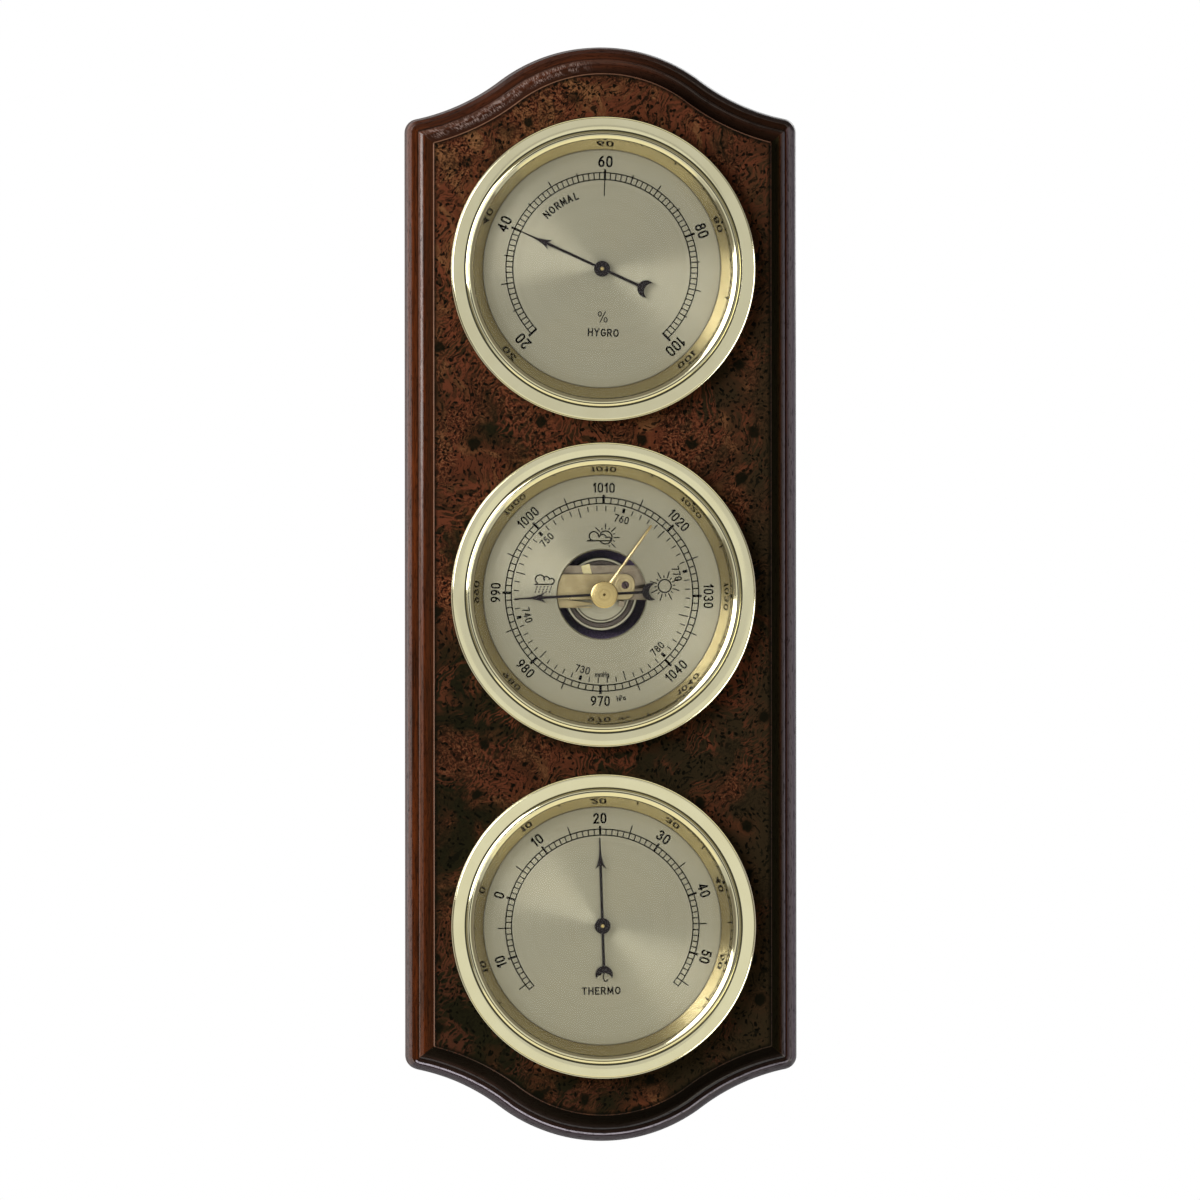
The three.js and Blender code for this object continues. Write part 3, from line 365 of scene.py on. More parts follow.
def stained_wood():
    """Dark stained hardwood: long grain, open pores and torn grain in its relief; lacquer differs by side,
    and so do painted shade, sheen, highlights and glints.
    """
    material, g = new_finish("stained_hardwood")
    grain = g.stored("grain")
    inset = g.split(grain)[0]
    tone = g.stored("tone", "Fac")
    x, _, z = g.split(g.place())
    nx, ny, nz = g.split(g.normal())
    streak = g.noise(g.stretched(grain, (1, 1, 0.05)), 0.9, 6, 0.65, 0.4)
    band = g.noise(g.stretched(grain, (1, 1, 0.02)), 0.16, 3, 0.5)
    pores = g.fade(g.noise(g.stretched(grain, (1, 1, 0.16)), 2.4, 2, 0.6), 0.55, 0.66)
    torn = g.noise(g.stretched(grain, (0.5, 0.5, 1.5)), 1.1, 2, 0.6)

    # Side of the board
    out_x, _, out_z = g.split(g.stored("outward"))
    on_right = g.fade(out_x, 0.65, 0.9)
    on_foot = g.fade(out_z, -0.55, -0.78)
    on_head = g.fade(out_z, 0.55, 0.78)
    far_sweep = on_head * g.fade(x, 0.0, 30.0)
    inner_edge = g.fade(inset, 4.3, 5.5)
    shaded = g.fade(nx - nz * 0.8, 0.1, 0.5)
    lower_right_shade = g.fade(x * 2.0 - z, 200.0, 400.0)

    # Ridges paler, as wear with a painted highlight kept off the shaded sides; hollows darker; painted glints
    # on the sweep that faces up and left
    unshaded_share = 1 - on_foot * 0.95 - (far_sweep + on_right * inner_edge) * 0.75
    rubbed_and_lit = g.fade(tone, 0.0, 1.0) * unshaded_share
    hollow = g.fade(tone, 0.0, -1.0)
    glint_scatter = g.fade(g.noise(g.stretched(grain, (0.55, 0.55, 1.8)), 1.5, 2, 0.6), 0.48, 0.6)
    patches = g.fade(g.noise(grain, 0.3, 2), 0.3, 0.55)
    lean = g.math("MAXIMUM", (nx * nx + nz * nz) ** 0.5, 0.05)
    left_sweep = g.fade((nz - nx * 0.6) / lean, 1.02, 1.12) * g.fade(lean, 0.1, 0.25)
    painted_glints = glint_scatter * patches * left_sweep * g.fade(inset, 3.8, 5.2) * g.fade(inset, 8.2, 6.6)
    painted_highlight_line = on_foot * g.near(inset, 2.4, 0.4, 0.1) * g.fade(x, 58.0, 20.0, 0.6, 1.0)
    colour = g.layered(
        g.blend(g.fade(streak, 0.3, 0.7), tint(40, 20, 10), tint(90, 42, 17)),
        (g.fade(band, 0.35, 0.7) * 0.5, (56, 27, 14)),
        (rubbed_and_lit * 0.2, (106, 74, 56)),
        (hollow * 0.8, (30, 21, 13)),
        # Painted shade: towards the lower right, on faces turned right and down, over the foot and its cove
        # and over the far sweep; the head a little darker
        (lower_right_shade * 0.55, (46, 29, 21)),
        (shaded * 0.75, (38, 32, 25)),
        (on_foot * 0.85, (34, 27, 24)),
        (on_foot * g.fade(inset, 4.4, 6.0) * 0.75, (20, 17, 10)),
        (on_head * 0.35, (52, 34, 28)),
        (far_sweep * 0.8, (24, 16, 10)),
        # Painted sheen on the roundover and ridge at the right, painted shade in the right's cove, a painted
        # highlight band at the right, painted sheen on the foot's outer band, and a painted highlight line
        # along the foot
        (on_right * g.fade(tone, -0.4, 0.0) * (1 - inner_edge) * 0.85, (80, 69, 73)),
        (on_right * g.fade(inset, 5.2, 6.4) * 0.7, (37, 35, 19)),
        (on_right * g.near(inset, 2.1, 1.1, 0.2) * 0.5, (122, 112, 114)),
        (on_foot * g.fade(inset, 2.6, 2.1) * 0.8, (60, 48, 54)),
        (painted_highlight_line * 0.9, (186, 178, 187)),
        (pores * 0.55, (20, 10, 6)),
        (painted_glints * 0.55, (165, 142, 132)),
    )

    # Lacquer shines where the edge turns away and on the worn ridges
    right_side = g.fade(nx, 0.05, 0.35)
    moulded = g.fade(inset, 0.0, 0.3) * g.fade(ny, 0.9, 0.5) * (1 - on_foot * 0.55 - on_right * 0.35)
    turned_away = g.fade(ny + right_side * 0.1, -0.86, -0.8) * g.fade(tone, -0.25, 0.0)
    lacquered = g.math("MAXIMUM", turned_away * (0.2 + moulded * 0.8), rubbed_and_lit * (0.4 + right_side * 0.4))
    g.shade(
        Base_Color=colour,
        Roughness=0.3 + streak * 0.14 + pores * 0.2,
        Normal=g.relief(streak * 0.3 + torn * 0.5 - pores, 0.1, 0.6),
        Specular_IOR_Level=0.0,
        Coat_Weight=(0.75 + torn * 0.4 - pores * 0.5) * lacquered,
        Coat_Roughness=0.16,
        Coat_IOR=1.8,
    )
    return material


def burl():
    """Walnut burl: green-black ground, red-brown and tan clouds, flowing dark streaks, pin knots and eyes;
    painted shade darkens it towards the lower right and on the strip right of the bezels.
    """
    material, g = new_finish("walnut_burl")
    x, _, z = g.split(g.place())
    place = g.merged(x, z, 0.0)
    half = (0.5, 0.5, 0.5)
    drift = g.vector("SUBTRACT", g.noise(place, 0.03, 2, 0.5, output=1), half)
    curl = g.vector("SUBTRACT", g.noise(place, 0.17, 3, 0.55, output=1), half)
    nudged = g.vector("ADD", place, g.scaled(curl, 5.0))
    swirled = g.vector("ADD", nudged, g.scaled(drift, 42.0))
    curl_size = g.split(curl)[0]

    # Warm clouds, fewer towards the right and the foot as painted shade, warmer at the middle of the foot,
    # fewer at its left corner, and fewest on the strip right of the bezels, where their shadow is painted
    foot_glow = g.fade(z, -320.0, -335.0) * g.fade(g.math("ABSOLUTE", x), 42.0, 15.0)
    foot_corner = g.fade(z, -300.0, -322.0) * g.fade(x, -28.0, -44.0)
    right_strip_shadow = g.fade(x, 46.0, 55.0) * g.fade(z, -22.0, -45.0)
    warmth_and_falloff = 0.11 + z * 0.0009 - x * 0.0008 + foot_glow * 0.22 - foot_corner * 0.08
    cloud = g.noise(swirled, 0.036, 4, 0.6)
    warm = g.fade(cloud + warmth_and_falloff, 0.36, 0.66) * (1 - right_strip_shadow * 0.8)
    flame = g.noise(g.stretched(swirled, (1, 0.4, 1), (0, 0, -31)), 0.12, 5, 0.65)
    pale = g.fade(flame + warmth_and_falloff * 0.5, 0.5, 0.68) * warm
    ground = g.blend(g.fade(x, -15.0, 50.0), tint(27, 25, 14), tint(44, 35, 22))
    clouds = g.layered(ground, (warm, (84, 44, 28)), (pale * 0.8, (116, 80, 50)))

    # Veins between long cells
    border = g.cells(g.stretched(swirled, (1, 0.36, 1), (0, 0, 38)), 0.6, feature="DISTANCE_TO_EDGE")
    veiny = g.fade(g.noise(swirled, 0.045, 3, 0.6) + warmth_and_falloff * 0.12, 0.45, 0.58)
    veined = veiny * (1 - pale) * (1 - right_strip_shadow * 0.6)
    foam = g.fade(border + curl_size * 0.3, 0.26, 0.06) * veined
    foam_tint = g.blend(g.fade(z, -200.0, -330.0), tint(98, 52, 34), tint(74, 42, 29))
    figured = g.blend(foam * 0.75, g.blend(veined * 0.5, clouds, ground), foam_tint)

    # Knots with rings about a dark eye
    knot = g.cells(nudged, 0.055)
    chosen = g.fade(g.split(g.cells(nudged, 0.055, "Color"))[0], 0.45, 0.5)
    halo = g.fade(knot, 0.36, 0.12) * chosen
    eye = g.fade(knot, 0.15, 0.07) * chosen
    ringed = 0.2 + g.fade(g.math("FRACT", knot * 16.0), 0.3, 0.7) * 0.3

    # Streaks, flecks, specks and dots
    zone = g.noise(place, 0.05, 2)
    flowing = g.noise(g.stretched(swirled, (1, 0.13, 1), (0, 0, 24)), 1.1, 2, 0.55)
    streaks = g.fade(flowing, 0.55, 0.62) * g.fade(zone, 0.4, 0.5)
    busy = g.fade(zone, 0.56, 0.46)
    maze = g.noise(nudged, 1.15, 2, 0.6)
    flecks = g.fade(maze, 0.5, 0.57) * busy
    glints = g.fade(maze, 0.45, 0.36) * busy * warm
    crowd = g.fade(g.noise(swirled, 0.08, 3, 0.6), 0.42, 0.6)
    specks = g.fade(g.cells(nudged, 1.2), 0.34, 0.24) * crowd * warm
    picked = g.fade(g.split(g.cells(nudged, 0.5, "Color"))[1], 0.55, 0.6)
    dots = g.fade(g.cells(nudged, 0.5), 0.28, 0.2) * picked

    # Dark line inside the rim, and the pale arris: wear, with a painted highlight strongest where it faces up
    # and left
    rim = g.fade(g.stored("tone", "Fac"), 0.0, -1.0)
    nx, ny, nz = g.split(g.normal())
    broken = g.fade(ny, -0.93, -0.75) * g.fade(nx - nz * 0.8, 0.3, -0.3, 0.15, 1.0)
    colour = g.layered(
        figured,
        (halo * ringed * (0.25 + warm * 0.75), (98, 56, 34)),
        (glints * 0.4, (136, 94, 62)),
        (flecks * (0.45 + warm * 0.4), (15, 13, 8)),
        (streaks * 0.85, (16, 15, 9)),
        (specks * 0.75, (14, 11, 7)),
        (dots * 0.95, (10, 10, 6)),
        (eye * 0.95, (17, 16, 9)),
        (rim * 0.85, (14, 13, 8)),
        (broken * 0.8, (116, 82, 62)),
    )
    g.shade(
        Base_Color=colour,
        Roughness=0.36 + flecks * 0.15 + crowd * 0.1,
        Normal=g.relief(maze * 0.5 - dots, 0.03, 0.35),
        Specular_IOR_Level=0.0,
        Coat_Weight=broken,
        Coat_Roughness=0.14,
    )
    return material


def polished(name, bright, dull, roughness, tool_marks=0.0, grime_and_shade_colour=(48, 36, 16), wear=1.0):
    """Turned and polished metal: cloudy lacquer, concentric tool marks, grooves darkened as soiling and
    painted shade, and tiny specks.
    """
    material, g = new_finish(name)
    turned, radius, away = g.ringed()
    across = g.merged(radius, 0.0, 0.0)
    cloud = g.noise(turned, 0.09, 3, 0.55)
    marks = g.noise(across, 9.0, 2, 0.7)
    rings = g.fade(g.noise(across, 0.9, 3, 0.7), 0.45, 0.7)
    specks = g.fade(g.noise(turned, 2.2, 2, 0.5), 0.7, 0.78) * wear
    dirt_and_shade = g.fade(g.stored("tone", "Fac"), 0.0, -1.0)
    colour = g.layered(
        tint(*bright),
        (g.fade(cloud, 0.35, 0.7) * 0.35, dull),
        (rings * min(tool_marks, 0.5), [channel * 0.88 for channel in dull]),
        (dirt_and_shade * 0.9, grime_and_shade_colour),
        (specks * 0.3, (96, 84, 56)),
    )
    g.shade(
        Base_Color=colour,
        Metallic=1.0,
        Roughness=roughness * (0.8 + cloud * 0.4) + dirt_and_shade * 0.2 + specks * 0.15,
        Normal=g.leaned(away, (marks - 0.5) * tool_marks),
    )
    return material


def spun_dial():
    """Champagne dial metal, turned in fine rings so that light draws out into two opposite fans."""
    material, g = new_finish("champagne_dial")
    turned, radius, away = g.ringed()
    across = g.merged(radius, 0.0, 0.0)
    fine = g.noise(across, 3.0, 3, 0.7)
    broad = g.noise(across, 0.8, 3, 0.6)
    cloud = g.noise(turned, 0.06, 3, 0.5)
    colour = g.layered(
        g.blend(g.fade(fine, 0.25, 0.75), tint(144, 139, 120), tint(157, 152, 132)),
        (g.fade(broad, 0.35, 0.7) * 0.35, (132, 127, 107)),
        (g.fade(cloud, 0.4, 0.7) * 0.15, (150, 140, 115)),
        # Painted shade: darker towards the rim, where the mirror ring stands over it; then a dark line where
        # the dial meets the mirror ring
        (g.fade(radius, 35.0, 41.0) * 0.25, (122, 115, 92)),
        (g.fade(radius, 39.7, 40.2) * 0.7, (60, 54, 42)),
    )
    ridge = g.math("FRACT", radius * 13.0) * 2.0 - 1.0
    steep = g.math("ABSOLUTE", ridge * ridge * ridge)
    g.shade(
        Base_Color=colour,
        Metallic=0.65,
        Roughness=0.21 + fine * 0.06,
        Normal=g.leaned(away, ridge * steep * (0.4 + broad * 0.5)),
        Specular_IOR_Level=0.15,
    )
    return material


def plain_metal(name, bright, dull, roughness, grain=(1.0, 1.0, 1.0), metallic=1.0):
    """Sheet or rod metal: drawn or rolled marks along one axis, uneven tarnish and small scratches."""
    material, g = new_finish(name)
    place = g.place()
    cloud = g.noise(place, 0.22, 4, 0.6)
    drawn = g.noise(g.stretched(place, grain), 6.0, 3, 0.65)
    scratch = g.fade(g.noise(g.stretched(place, (1, 1, 0.06), (0, 37, 0)), 3.0, 2), 0.66, 0.72)
    colour = g.blend(g.fade(cloud, 0.3, 0.72), tint(*bright), tint(*dull))
    colour = g.blend(g.fade(drawn, 0.5, 0.8) * 0.3, colour, tint(*[channel * 0.6 for channel in dull]))
    g.shade(
        Base_Color=colour,
        Metallic=metallic,
        Roughness=roughness * (0.75 + cloud * 0.5) + scratch * 0.1,
        Normal=g.relief(drawn * 0.5 - scratch, 0.02, 0.4),
    )
    return material


def galvanised():
    """Zinc-plated steel with a faint crystal pattern and white bloom."""
    material, g = new_finish("zinc_plating")
    place = g.place()
    x, _, z = g.split(place)
    spread = g.vector("ADD", g.merged(x, z, 0.0), g.noise(place, 0.8, 2, output=1))
    crystal = g.split(g.cells(spread, 0.45, "Color"))[0]
    bloom = g.fade(g.noise(place, 0.5, 4, 0.65), 0.52, 0.75)
    colour = g.blend(crystal, tint(150, 152, 150), tint(188, 190, 186))
    colour = g.blend(bloom * 0.5, colour, tint(206, 206, 200))
    g.shade(
        Base_Color=colour,
        Metallic=1.0,
        Roughness=0.36 + crystal * 0.14 + bloom * 0.2,
        Normal=g.relief(crystal, 0.03, 0.3),
    )
    return material


def black_coat(name, colour, sheen, roughness):
    """Thin black coat, slightly uneven, with a little dust."""
    material, g = new_finish(name)
    place = g.place()
    mottle = g.noise(place, 1.4, 3, 0.6)
    dust = g.fade(g.noise(place, 3.5, 2, 0.5), 0.68, 0.76)
    shade = g.blend(g.fade(mottle, 0.3, 0.7), tint(*colour), tint(*[channel * 1.35 for channel in colour]))
    shade = g.blend(dust * 0.25, shade, tint(96, 92, 90))
    g.shade(
        Base_Color=shade,
        Roughness=roughness + mottle * 0.15,
        Normal=g.relief(mottle, 0.02, 0.3),
        Specular_IOR_Level=sheen,
    )
    return material


def clear_glass():
    """Flat glass: clear seen straight through, a mirror only at a slant, with faint wipe marks."""
    material, g = new_finish("clear_glass")
    wipe = g.noise(g.stretched(g.place(), (1, 1, 0.25), (0, 40, 0)), 0.12, 4, 0.6)
    slant = g.node("ShaderNodeLayerWeight", inputs={"Blend": 0.5}, output="Facing")
    factor = slant ** 5.0 * 0.7 + 0.004 + g.fade(wipe, 0.55, 0.8) * 0.003
    through = g.node("ShaderNodeBsdfTransparent", inputs={"Color": (0.985, 0.99, 0.985, 1)})
    mirror = g.node("ShaderNodeBsdfGlossy", inputs={"Roughness": 0.03})
    pane = g.node("ShaderNodeMixShader", inputs={0: factor, 1: through, 2: mirror})
    g.node("ShaderNodeOutputMaterial", inputs={"Surface": pane})
    return material


FINISH = {
    "stained_wood": stained_wood(),
    "burl": burl(),
    "gilt": polished("lacquered_gilt", (194, 189, 157), (185, 178, 142), 0.08, 0.02, (14, 11, 6), 0.5),
    "mirror_gilt": polished("mirror_gilt", (236, 224, 186), (222, 207, 164), 0.05, 0.0, wear=0.2),
    "champagne": spun_dial(),
    "brass": plain_metal("yellow_brass", (174, 158, 120), (150, 134, 100), 0.3, (0.08, 1, 1)),
    "pale_brass": plain_metal("pale_brass", (210, 198, 156), (188, 174, 124), 0.24),
    "turned_brass": polished("turned_brass", (174, 156, 108), (156, 136, 88), 0.26, 1.0),
    "case_brass": polished("spun_case_brass", (196, 174, 118), (158, 132, 80), 0.28, 0.4),
    "steel": plain_metal("bright_steel", (152, 140, 120), (124, 111, 94), 0.34, (0.08, 1, 1)),
    "dark_steel": plain_metal("dark_screw_steel", (88, 74, 74), (56, 44, 46), 0.32),
    "capsule_metal": polished("capsule_nickel", (162, 156, 135), (144, 138, 117), 0.34, 0.3, (76, 66, 64)),
    "zinc": galvanised(),
    "hygro_foil": plain_metal("hygroscopic_foil", (206, 190, 150), (178, 156, 108), 0.5, (1, 0.1, 1), 0.3),
    "black": black_coat("black_lacquer", (23, 19, 20), 0.12, 0.5),
    # Painted shade: the dark coat inside the cases
    "case_inside_shade": black_coat("case_inside_painted_shade", (92, 79, 104), 0.15, 0.6),
    # Painted shade: the dark coat in screw slots
    "slot_painted_shade": black_coat("slot_painted_shade", (38, 33, 28), 0.1, 0.8),
    "ink": black_coat("dial_ink", (4, 3, 3), 0.03, 0.6),
    "glass": clear_glass(),
}


def circle(radius, sides=SIDES, centre=(0.0, 0.0)):
    """Points round a circle, clockwise from its top."""
    turns = np.arange(sides) * 2 * math.pi / sides
    return [(centre[0] + radius * math.sin(t), centre[1] + radius * math.cos(t)) for t in turns]


def arc(centre, radius, first, last, steps):
    """Points along an arc, both ends included; angles in radians, anticlockwise from the right."""
    turns = np.linspace(first, last, steps + 1)
    return [(centre[0] + radius * math.cos(t), centre[1] + radius * math.sin(t)) for t in turns]


def eased(points, radius, closed=True, steps=3):
    """A line with its corners rounded off, as far as its shorter stretches allow."""
    spots = [np.array(point, float) for point in points]
    count = len(spots)
    smooth = []
    for i, spot in enumerate(spots):
        if not closed and i in (0, count - 1):
            smooth.append(tuple(spot))
            continue
        ends = []
        for other in (spots[i - 1], spots[(i + 1) % count]):
            span = np.linalg.norm(other - spot)
            ends.append(spot + (other - spot) * min(radius / span, 0.45))
        for t in np.linspace(0, 1, steps + 1):
            smooth.append(tuple(ends[0] * (1 - t) ** 2 + spot * 2 * t * (1 - t) + ends[1] * t ** 2))
    return smooth


def rounded_rectangle(left, right, bottom, top, corner, steps=8):
    """Outline of a rectangle with round corners, anticlockwise."""
    quarter = math.pi / 2
    return [
        *arc((right - corner, bottom + corner), corner, -quarter, 0, steps),
        *arc((right - corner, top - corner), corner, 0, quarter, steps),
        *arc((left + corner, top - corner), corner, quarter, 2 * quarter, steps),
        *arc((left + corner, bottom + corner), corner, 2 * quarter, 3 * quarter, steps),
    ]


def swung(points, angle, axis):
    """Points drawn about the origin, turned clockwise by degrees and carried to an axis."""
    turn = math.radians(angle)
    cosine, sine = math.cos(turn), math.sin(turn)
    return [(axis[0] + x * cosine + z * sine, axis[1] - x * sine + z * cosine) for x, z in points]


def drawn_in(outline, distance):
    """An outline moved towards its inside by a distance; a negative one moves it out."""
    spots = np.array(outline, float)
    before = spots - np.roll(spots, 1, axis=0)
    after = np.roll(spots, -1, axis=0) - spots
    before /= np.linalg.norm(before, axis=1)[:, None]
    after /= np.linalg.norm(after, axis=1)[:, None]
    x, z = spots[:, 0], spots[:, 1]
    area = np.sum(x * np.roll(z, -1) - np.roll(x, -1) * z)
    normals = [np.stack([-edge[:, 1], edge[:, 0]], axis=1) * np.sign(area) for edge in (before, after)]
    mitre = normals[0] + normals[1]
    share = np.maximum(np.sum(mitre * normals[0], axis=1), OUTLINE_MITRE)
    return [tuple(spot) for spot in spots + mitre / share[:, None] * distance]


class Solid:
    """A mesh in the making: points in millimetres, faces over them and a wear tone for each point."""

    def __init__(self):
        self.points = []
        self.faces = []
        self.tones = []

    def loop(self, outline, depth, tone=0.0):
        """Adds a row of points drawn in x and z at one depth, or at a depth for each."""
        first = len(self.points)
        steps = np.broadcast_to(depth, len(outline))
        self.points += [(x, -d, z) for (x, z), d in zip(outline, steps)]
        self.tones += [tone] * len(outline)
        return list(range(first, len(self.points)))

    def wall(self, one, other, closed=True):
        """Faces between two rows of equal length, or between a row and a single point."""
        count = max(len(one), len(other))
        for i in range(count if closed else count - 1):
            j = (i + 1) % count
            corners = (one[i % len(one)], one[j % len(one)], other[j % len(other)], other[i % len(other)])
            self.faces.append(tuple(dict.fromkeys(corners)))

    def skin(self, rows):
        """Faces between each row and the next."""
        for one, other in zip(rows, rows[1:]):
            self.wall(one, other)

    def cap(self, *loops):
        """Flat faces within the first row and outside the others."""
        order = [k for loop in loops for k in loop]
        outlines = [[Vector(self.points[k]) for k in loop] for loop in loops]
        self.faces += [tuple(order[k] for k in corners) for corners in tessellate_polygon(outlines)]

    def absorb(self, mesh):
        """Takes in a finished mesh."""
        first = len(self.points)
        self.points += [tuple(vertex.co / MM) for vertex in mesh.vertices]
        self.tones += [0.0] * len(mesh.vertices)
        self.faces += [tuple(first + k for k in polygon.vertices) for polygon in mesh.polygons]

    def build(self, name, finish, axis=(0.0, 0.0), sharp=SHARP_ANGLE):
        """The finished piece; the place about its own axis and the tone go along for its material."""
        mesh = bpy.data.meshes.new(name)
        mesh.from_pydata([tuple(c * MM for c in point) for point in self.points], [], self.faces)
        shell = bmesh.new()
        shell.from_mesh(mesh)
        bmesh.ops.recalc_face_normals(shell, faces=shell.faces)
        shell.to_mesh(mesh)
        shell.free()
        turned = mesh.attributes.new("turned", "FLOAT_VECTOR", "POINT")
        places = np.array(self.points, np.float32) - np.array((axis[0], 0, axis[1]), np.float32)
        turned.data.foreach_set("vector", places.ravel())
        tone = mesh.attributes.new("tone", "FLOAT", "POINT")
        tone.data.foreach_set("value", np.array(self.tones, np.float32))
        mesh.materials.append(finish)
        return shown(name, mesh, sharp)


def shown(name, mesh, sharp=SHARP_ANGLE):
    """Adds a mesh to the scene, smooth except across its sharp edges."""
    mesh.shade_smooth()
    mesh.set_sharp_from_angle(angle=math.radians(sharp))
    piece = bpy.data.objects.new(name, mesh)
    bpy.context.scene.collection.objects.link(piece)
    return piece


def spun(name, profile, axis, finish, sides=SIDES, sharp=SHARP_ANGLE):
    """A piece turned about an axis from a profile of radius, depth and, where it matters, tone."""
    solid = Solid()
    rows = []
    for radius, depth, *tone in profile:
        outline = [axis] if radius < 1e-6 else circle(radius, sides, axis)
        rows.append(solid.loop(outline, depth, tone[0] if tone else 0.0))
    solid.skin(rows)
    if len(rows[0]) > 1:
        solid.wall(rows[-1], rows[0])
    return solid.build(name, FINISH[finish], axis, sharp)


def plate(outlines, back, front, edge):
    """A flat piece: the first outline less the others, between two depths, with its edges broken."""
    solid = Solid()
    backs = []
    fronts = []
    for i, outline in enumerate(outlines):
        inner = drawn_in(outline, -edge if i else edge)
        rows = [solid.loop(inner, back), solid.loop(outline, back + edge)]
        rows += [solid.loop(outline, front - edge), solid.loop(inner, front)]
        solid.skin(rows)
        backs.append(rows[0])
        fronts.append(rows[-1])
    solid.cap(*backs)
    solid.cap(*fronts)
    return solid


def slotted(piece, centre, half_width, half_length, back, front, angle):
    """Cuts a screwdriver slot through a piece between two depths."""
    corners = [(-half_length, -half_width), (half_length, -half_width)]
    corners += [(half_length, half_width), (-half_length, half_width)]
    solid = Solid()
    outline = swung(corners, angle, centre)
    rows = [solid.loop(outline, back), solid.loop(outline, front)]
    solid.wall(*rows)
    solid.cap(rows[0])
    solid.cap(rows[1])
    # The slot's walls and floor take the dark coat of painted shade
    cutter = solid.build("slot_cutter", FINISH["slot_painted_shade"])
    modifier = piece.modifiers.new("slot", "BOOLEAN")
    modifier.operation = "DIFFERENCE"
    modifier.material_mode = "TRANSFER"
    modifier.object = cutter
    mesh = bpy.data.meshes.new_from_object(piece.evaluated_get(bpy.context.evaluated_depsgraph_get()))
    piece.modifiers.remove(modifier)
    bpy.data.objects.remove(cutter)
    piece.data = mesh
    mesh.set_sharp_from_angle(angle=math.radians(SHARP_ANGLE))


def softened(node, name, finish, edge):
    """A copy of a small CAD part with its corners merged and its edges broken."""
    shell = bmesh.new()
    shell.from_mesh(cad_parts[node].data)
    bmesh.ops.remove_doubles(shell, verts=shell.verts, dist=1e-6)
    bmesh.ops.dissolve_limit(shell, angle_limit=0.02, verts=shell.verts, edges=shell.edges)
    keen = [rim for rim in shell.edges if len(rim.link_faces) == 2 and rim.calc_face_angle() > 0.6]
    bmesh.ops.bevel(shell, geom=keen, offset=edge * MM, segments=2, affect="EDGES", clamp_overlap=True)
    mesh = bpy.data.meshes.new(name)
    shell.to_mesh(mesh)
    shell.free()
    mesh.materials.clear()
    mesh.materials.append(finish)
    return shown(name, mesh)


def fit(piece, slot, body, *nodes):
    """Puts a piece in the frame: the body it moves with and the CAD nodes it stands for, which it hides; the
    finish passed in is not used.
    """
    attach(piece, body)
    if nodes:
        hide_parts(*nodes)


def nodes_tree(name, inputs):
    """An empty Geometry Nodes tree with these inputs and their kinds, and the values that they give."""
    tree = bpy.data.node_groups.new(name, "GeometryNodeTree")
    for label, kind in inputs.items():
        tree.interface.new_socket(label, in_out="INPUT", socket_type=f"NodeSocket{kind}")
    tree.interface.new_socket("Geometry", in_out="OUTPUT", socket_type="NodeSocketGeometry")
    graph = Graph(tree)
    entry = graph.node("NodeGroupInput")
    return graph, {label: entry.out(label) for label in inputs}


def end_tree(g, geometry, finish):
    """Ends a tree: millimetres become metres, copies become real, and the mesh gets its finish."""
    sized = g.node("GeometryNodeTransform", inputs={"Geometry": geometry, "Scale": (MM, MM, MM)})
    real = g.node("GeometryNodeRealizeInstances", inputs={"Geometry": sized})
    dressed = g.node("GeometryNodeSetMaterial", inputs={"Geometry": real, "Material": finish})
    g.node("NodeGroupOutput", inputs={"Geometry": dressed})
    return g.tree


def dial_marks_tree():
    """Bars of one length fanned out about a dial's axis at even angles."""
    inputs = {"Marks": "Int", "Centre": "Vector", "Ink": "Material"}
    for label in ("First angle", "Step", "Inner radius", "Outer radius", "Line", "Height"):
        inputs[label] = "Float"
    g, given = nodes_tree("dial_marks", inputs)
    angle = given["First angle"] + g.node("GeometryNodeInputIndex") * given["Step"]
    radius = (given["Inner radius"] + given["Outer radius"]) * 0.5
    around = g.merged(g.math("SINE", angle) * radius, 0.0, g.math("COSINE", angle) * radius)
    spot = g.vector("ADD", around, given["Centre"])
    points = g.node("GeometryNodePoints", inputs={"Count": given["Marks"], "Position": spot})
    length = given["Outer radius"] - given["Inner radius"]
    bar = g.node("GeometryNodeMeshCube", inputs={"Size": g.merged(given["Line"], given["Height"], length)})
    turn = g.node("FunctionNodeEulerToRotation", inputs={0: g.merged(0.0, angle, 0.0)})
    placed = {"Points": points, "Instance": bar, "Rotation": turn}
    return end_tree(g, g.node("GeometryNodeInstanceOnPoints", inputs=placed), given["Ink"])


def wound_strip_tree():
    """A flat strip wound on edge into a spiral about an axis, from its inner end outwards."""
    inputs = {"Centre": "Vector", "Metal": "Material"}
    for label in ("Turns", "Inner radius", "Outer radius", "Strip", "Height"):
        inputs[label] = "Float"
    g, given = nodes_tree("wound_strip", inputs)
    winding = {"Resolution": 64, "Rotations": given["Turns"], "Height": 0.0}
    winding |= {"Start Radius": given["Inner radius"], "End Radius": given["Outer radius"]}
    line = g.node("GeometryNodeCurveSpiral", inputs=winding)
    sides = {"Width": given["Strip"], "Height": given["Height"]}
    section = g.node("GeometryNodeCurvePrimitiveQuadrilateral", inputs=sides)
    drawn = {"Curve": line, "Profile Curve": section, "Fill Caps": True}
    strip = g.node("GeometryNodeCurveToMesh", inputs=drawn)
    upright = g.node("GeometryNodeTransform", inputs={"Geometry": strip, "Rotation": (math.pi / 2, 0, 0)})
    moved = g.node("GeometryNodeTransform", inputs={"Geometry": upright, "Translation": given["Centre"]})
    return end_tree(g, moved, given["Metal"])


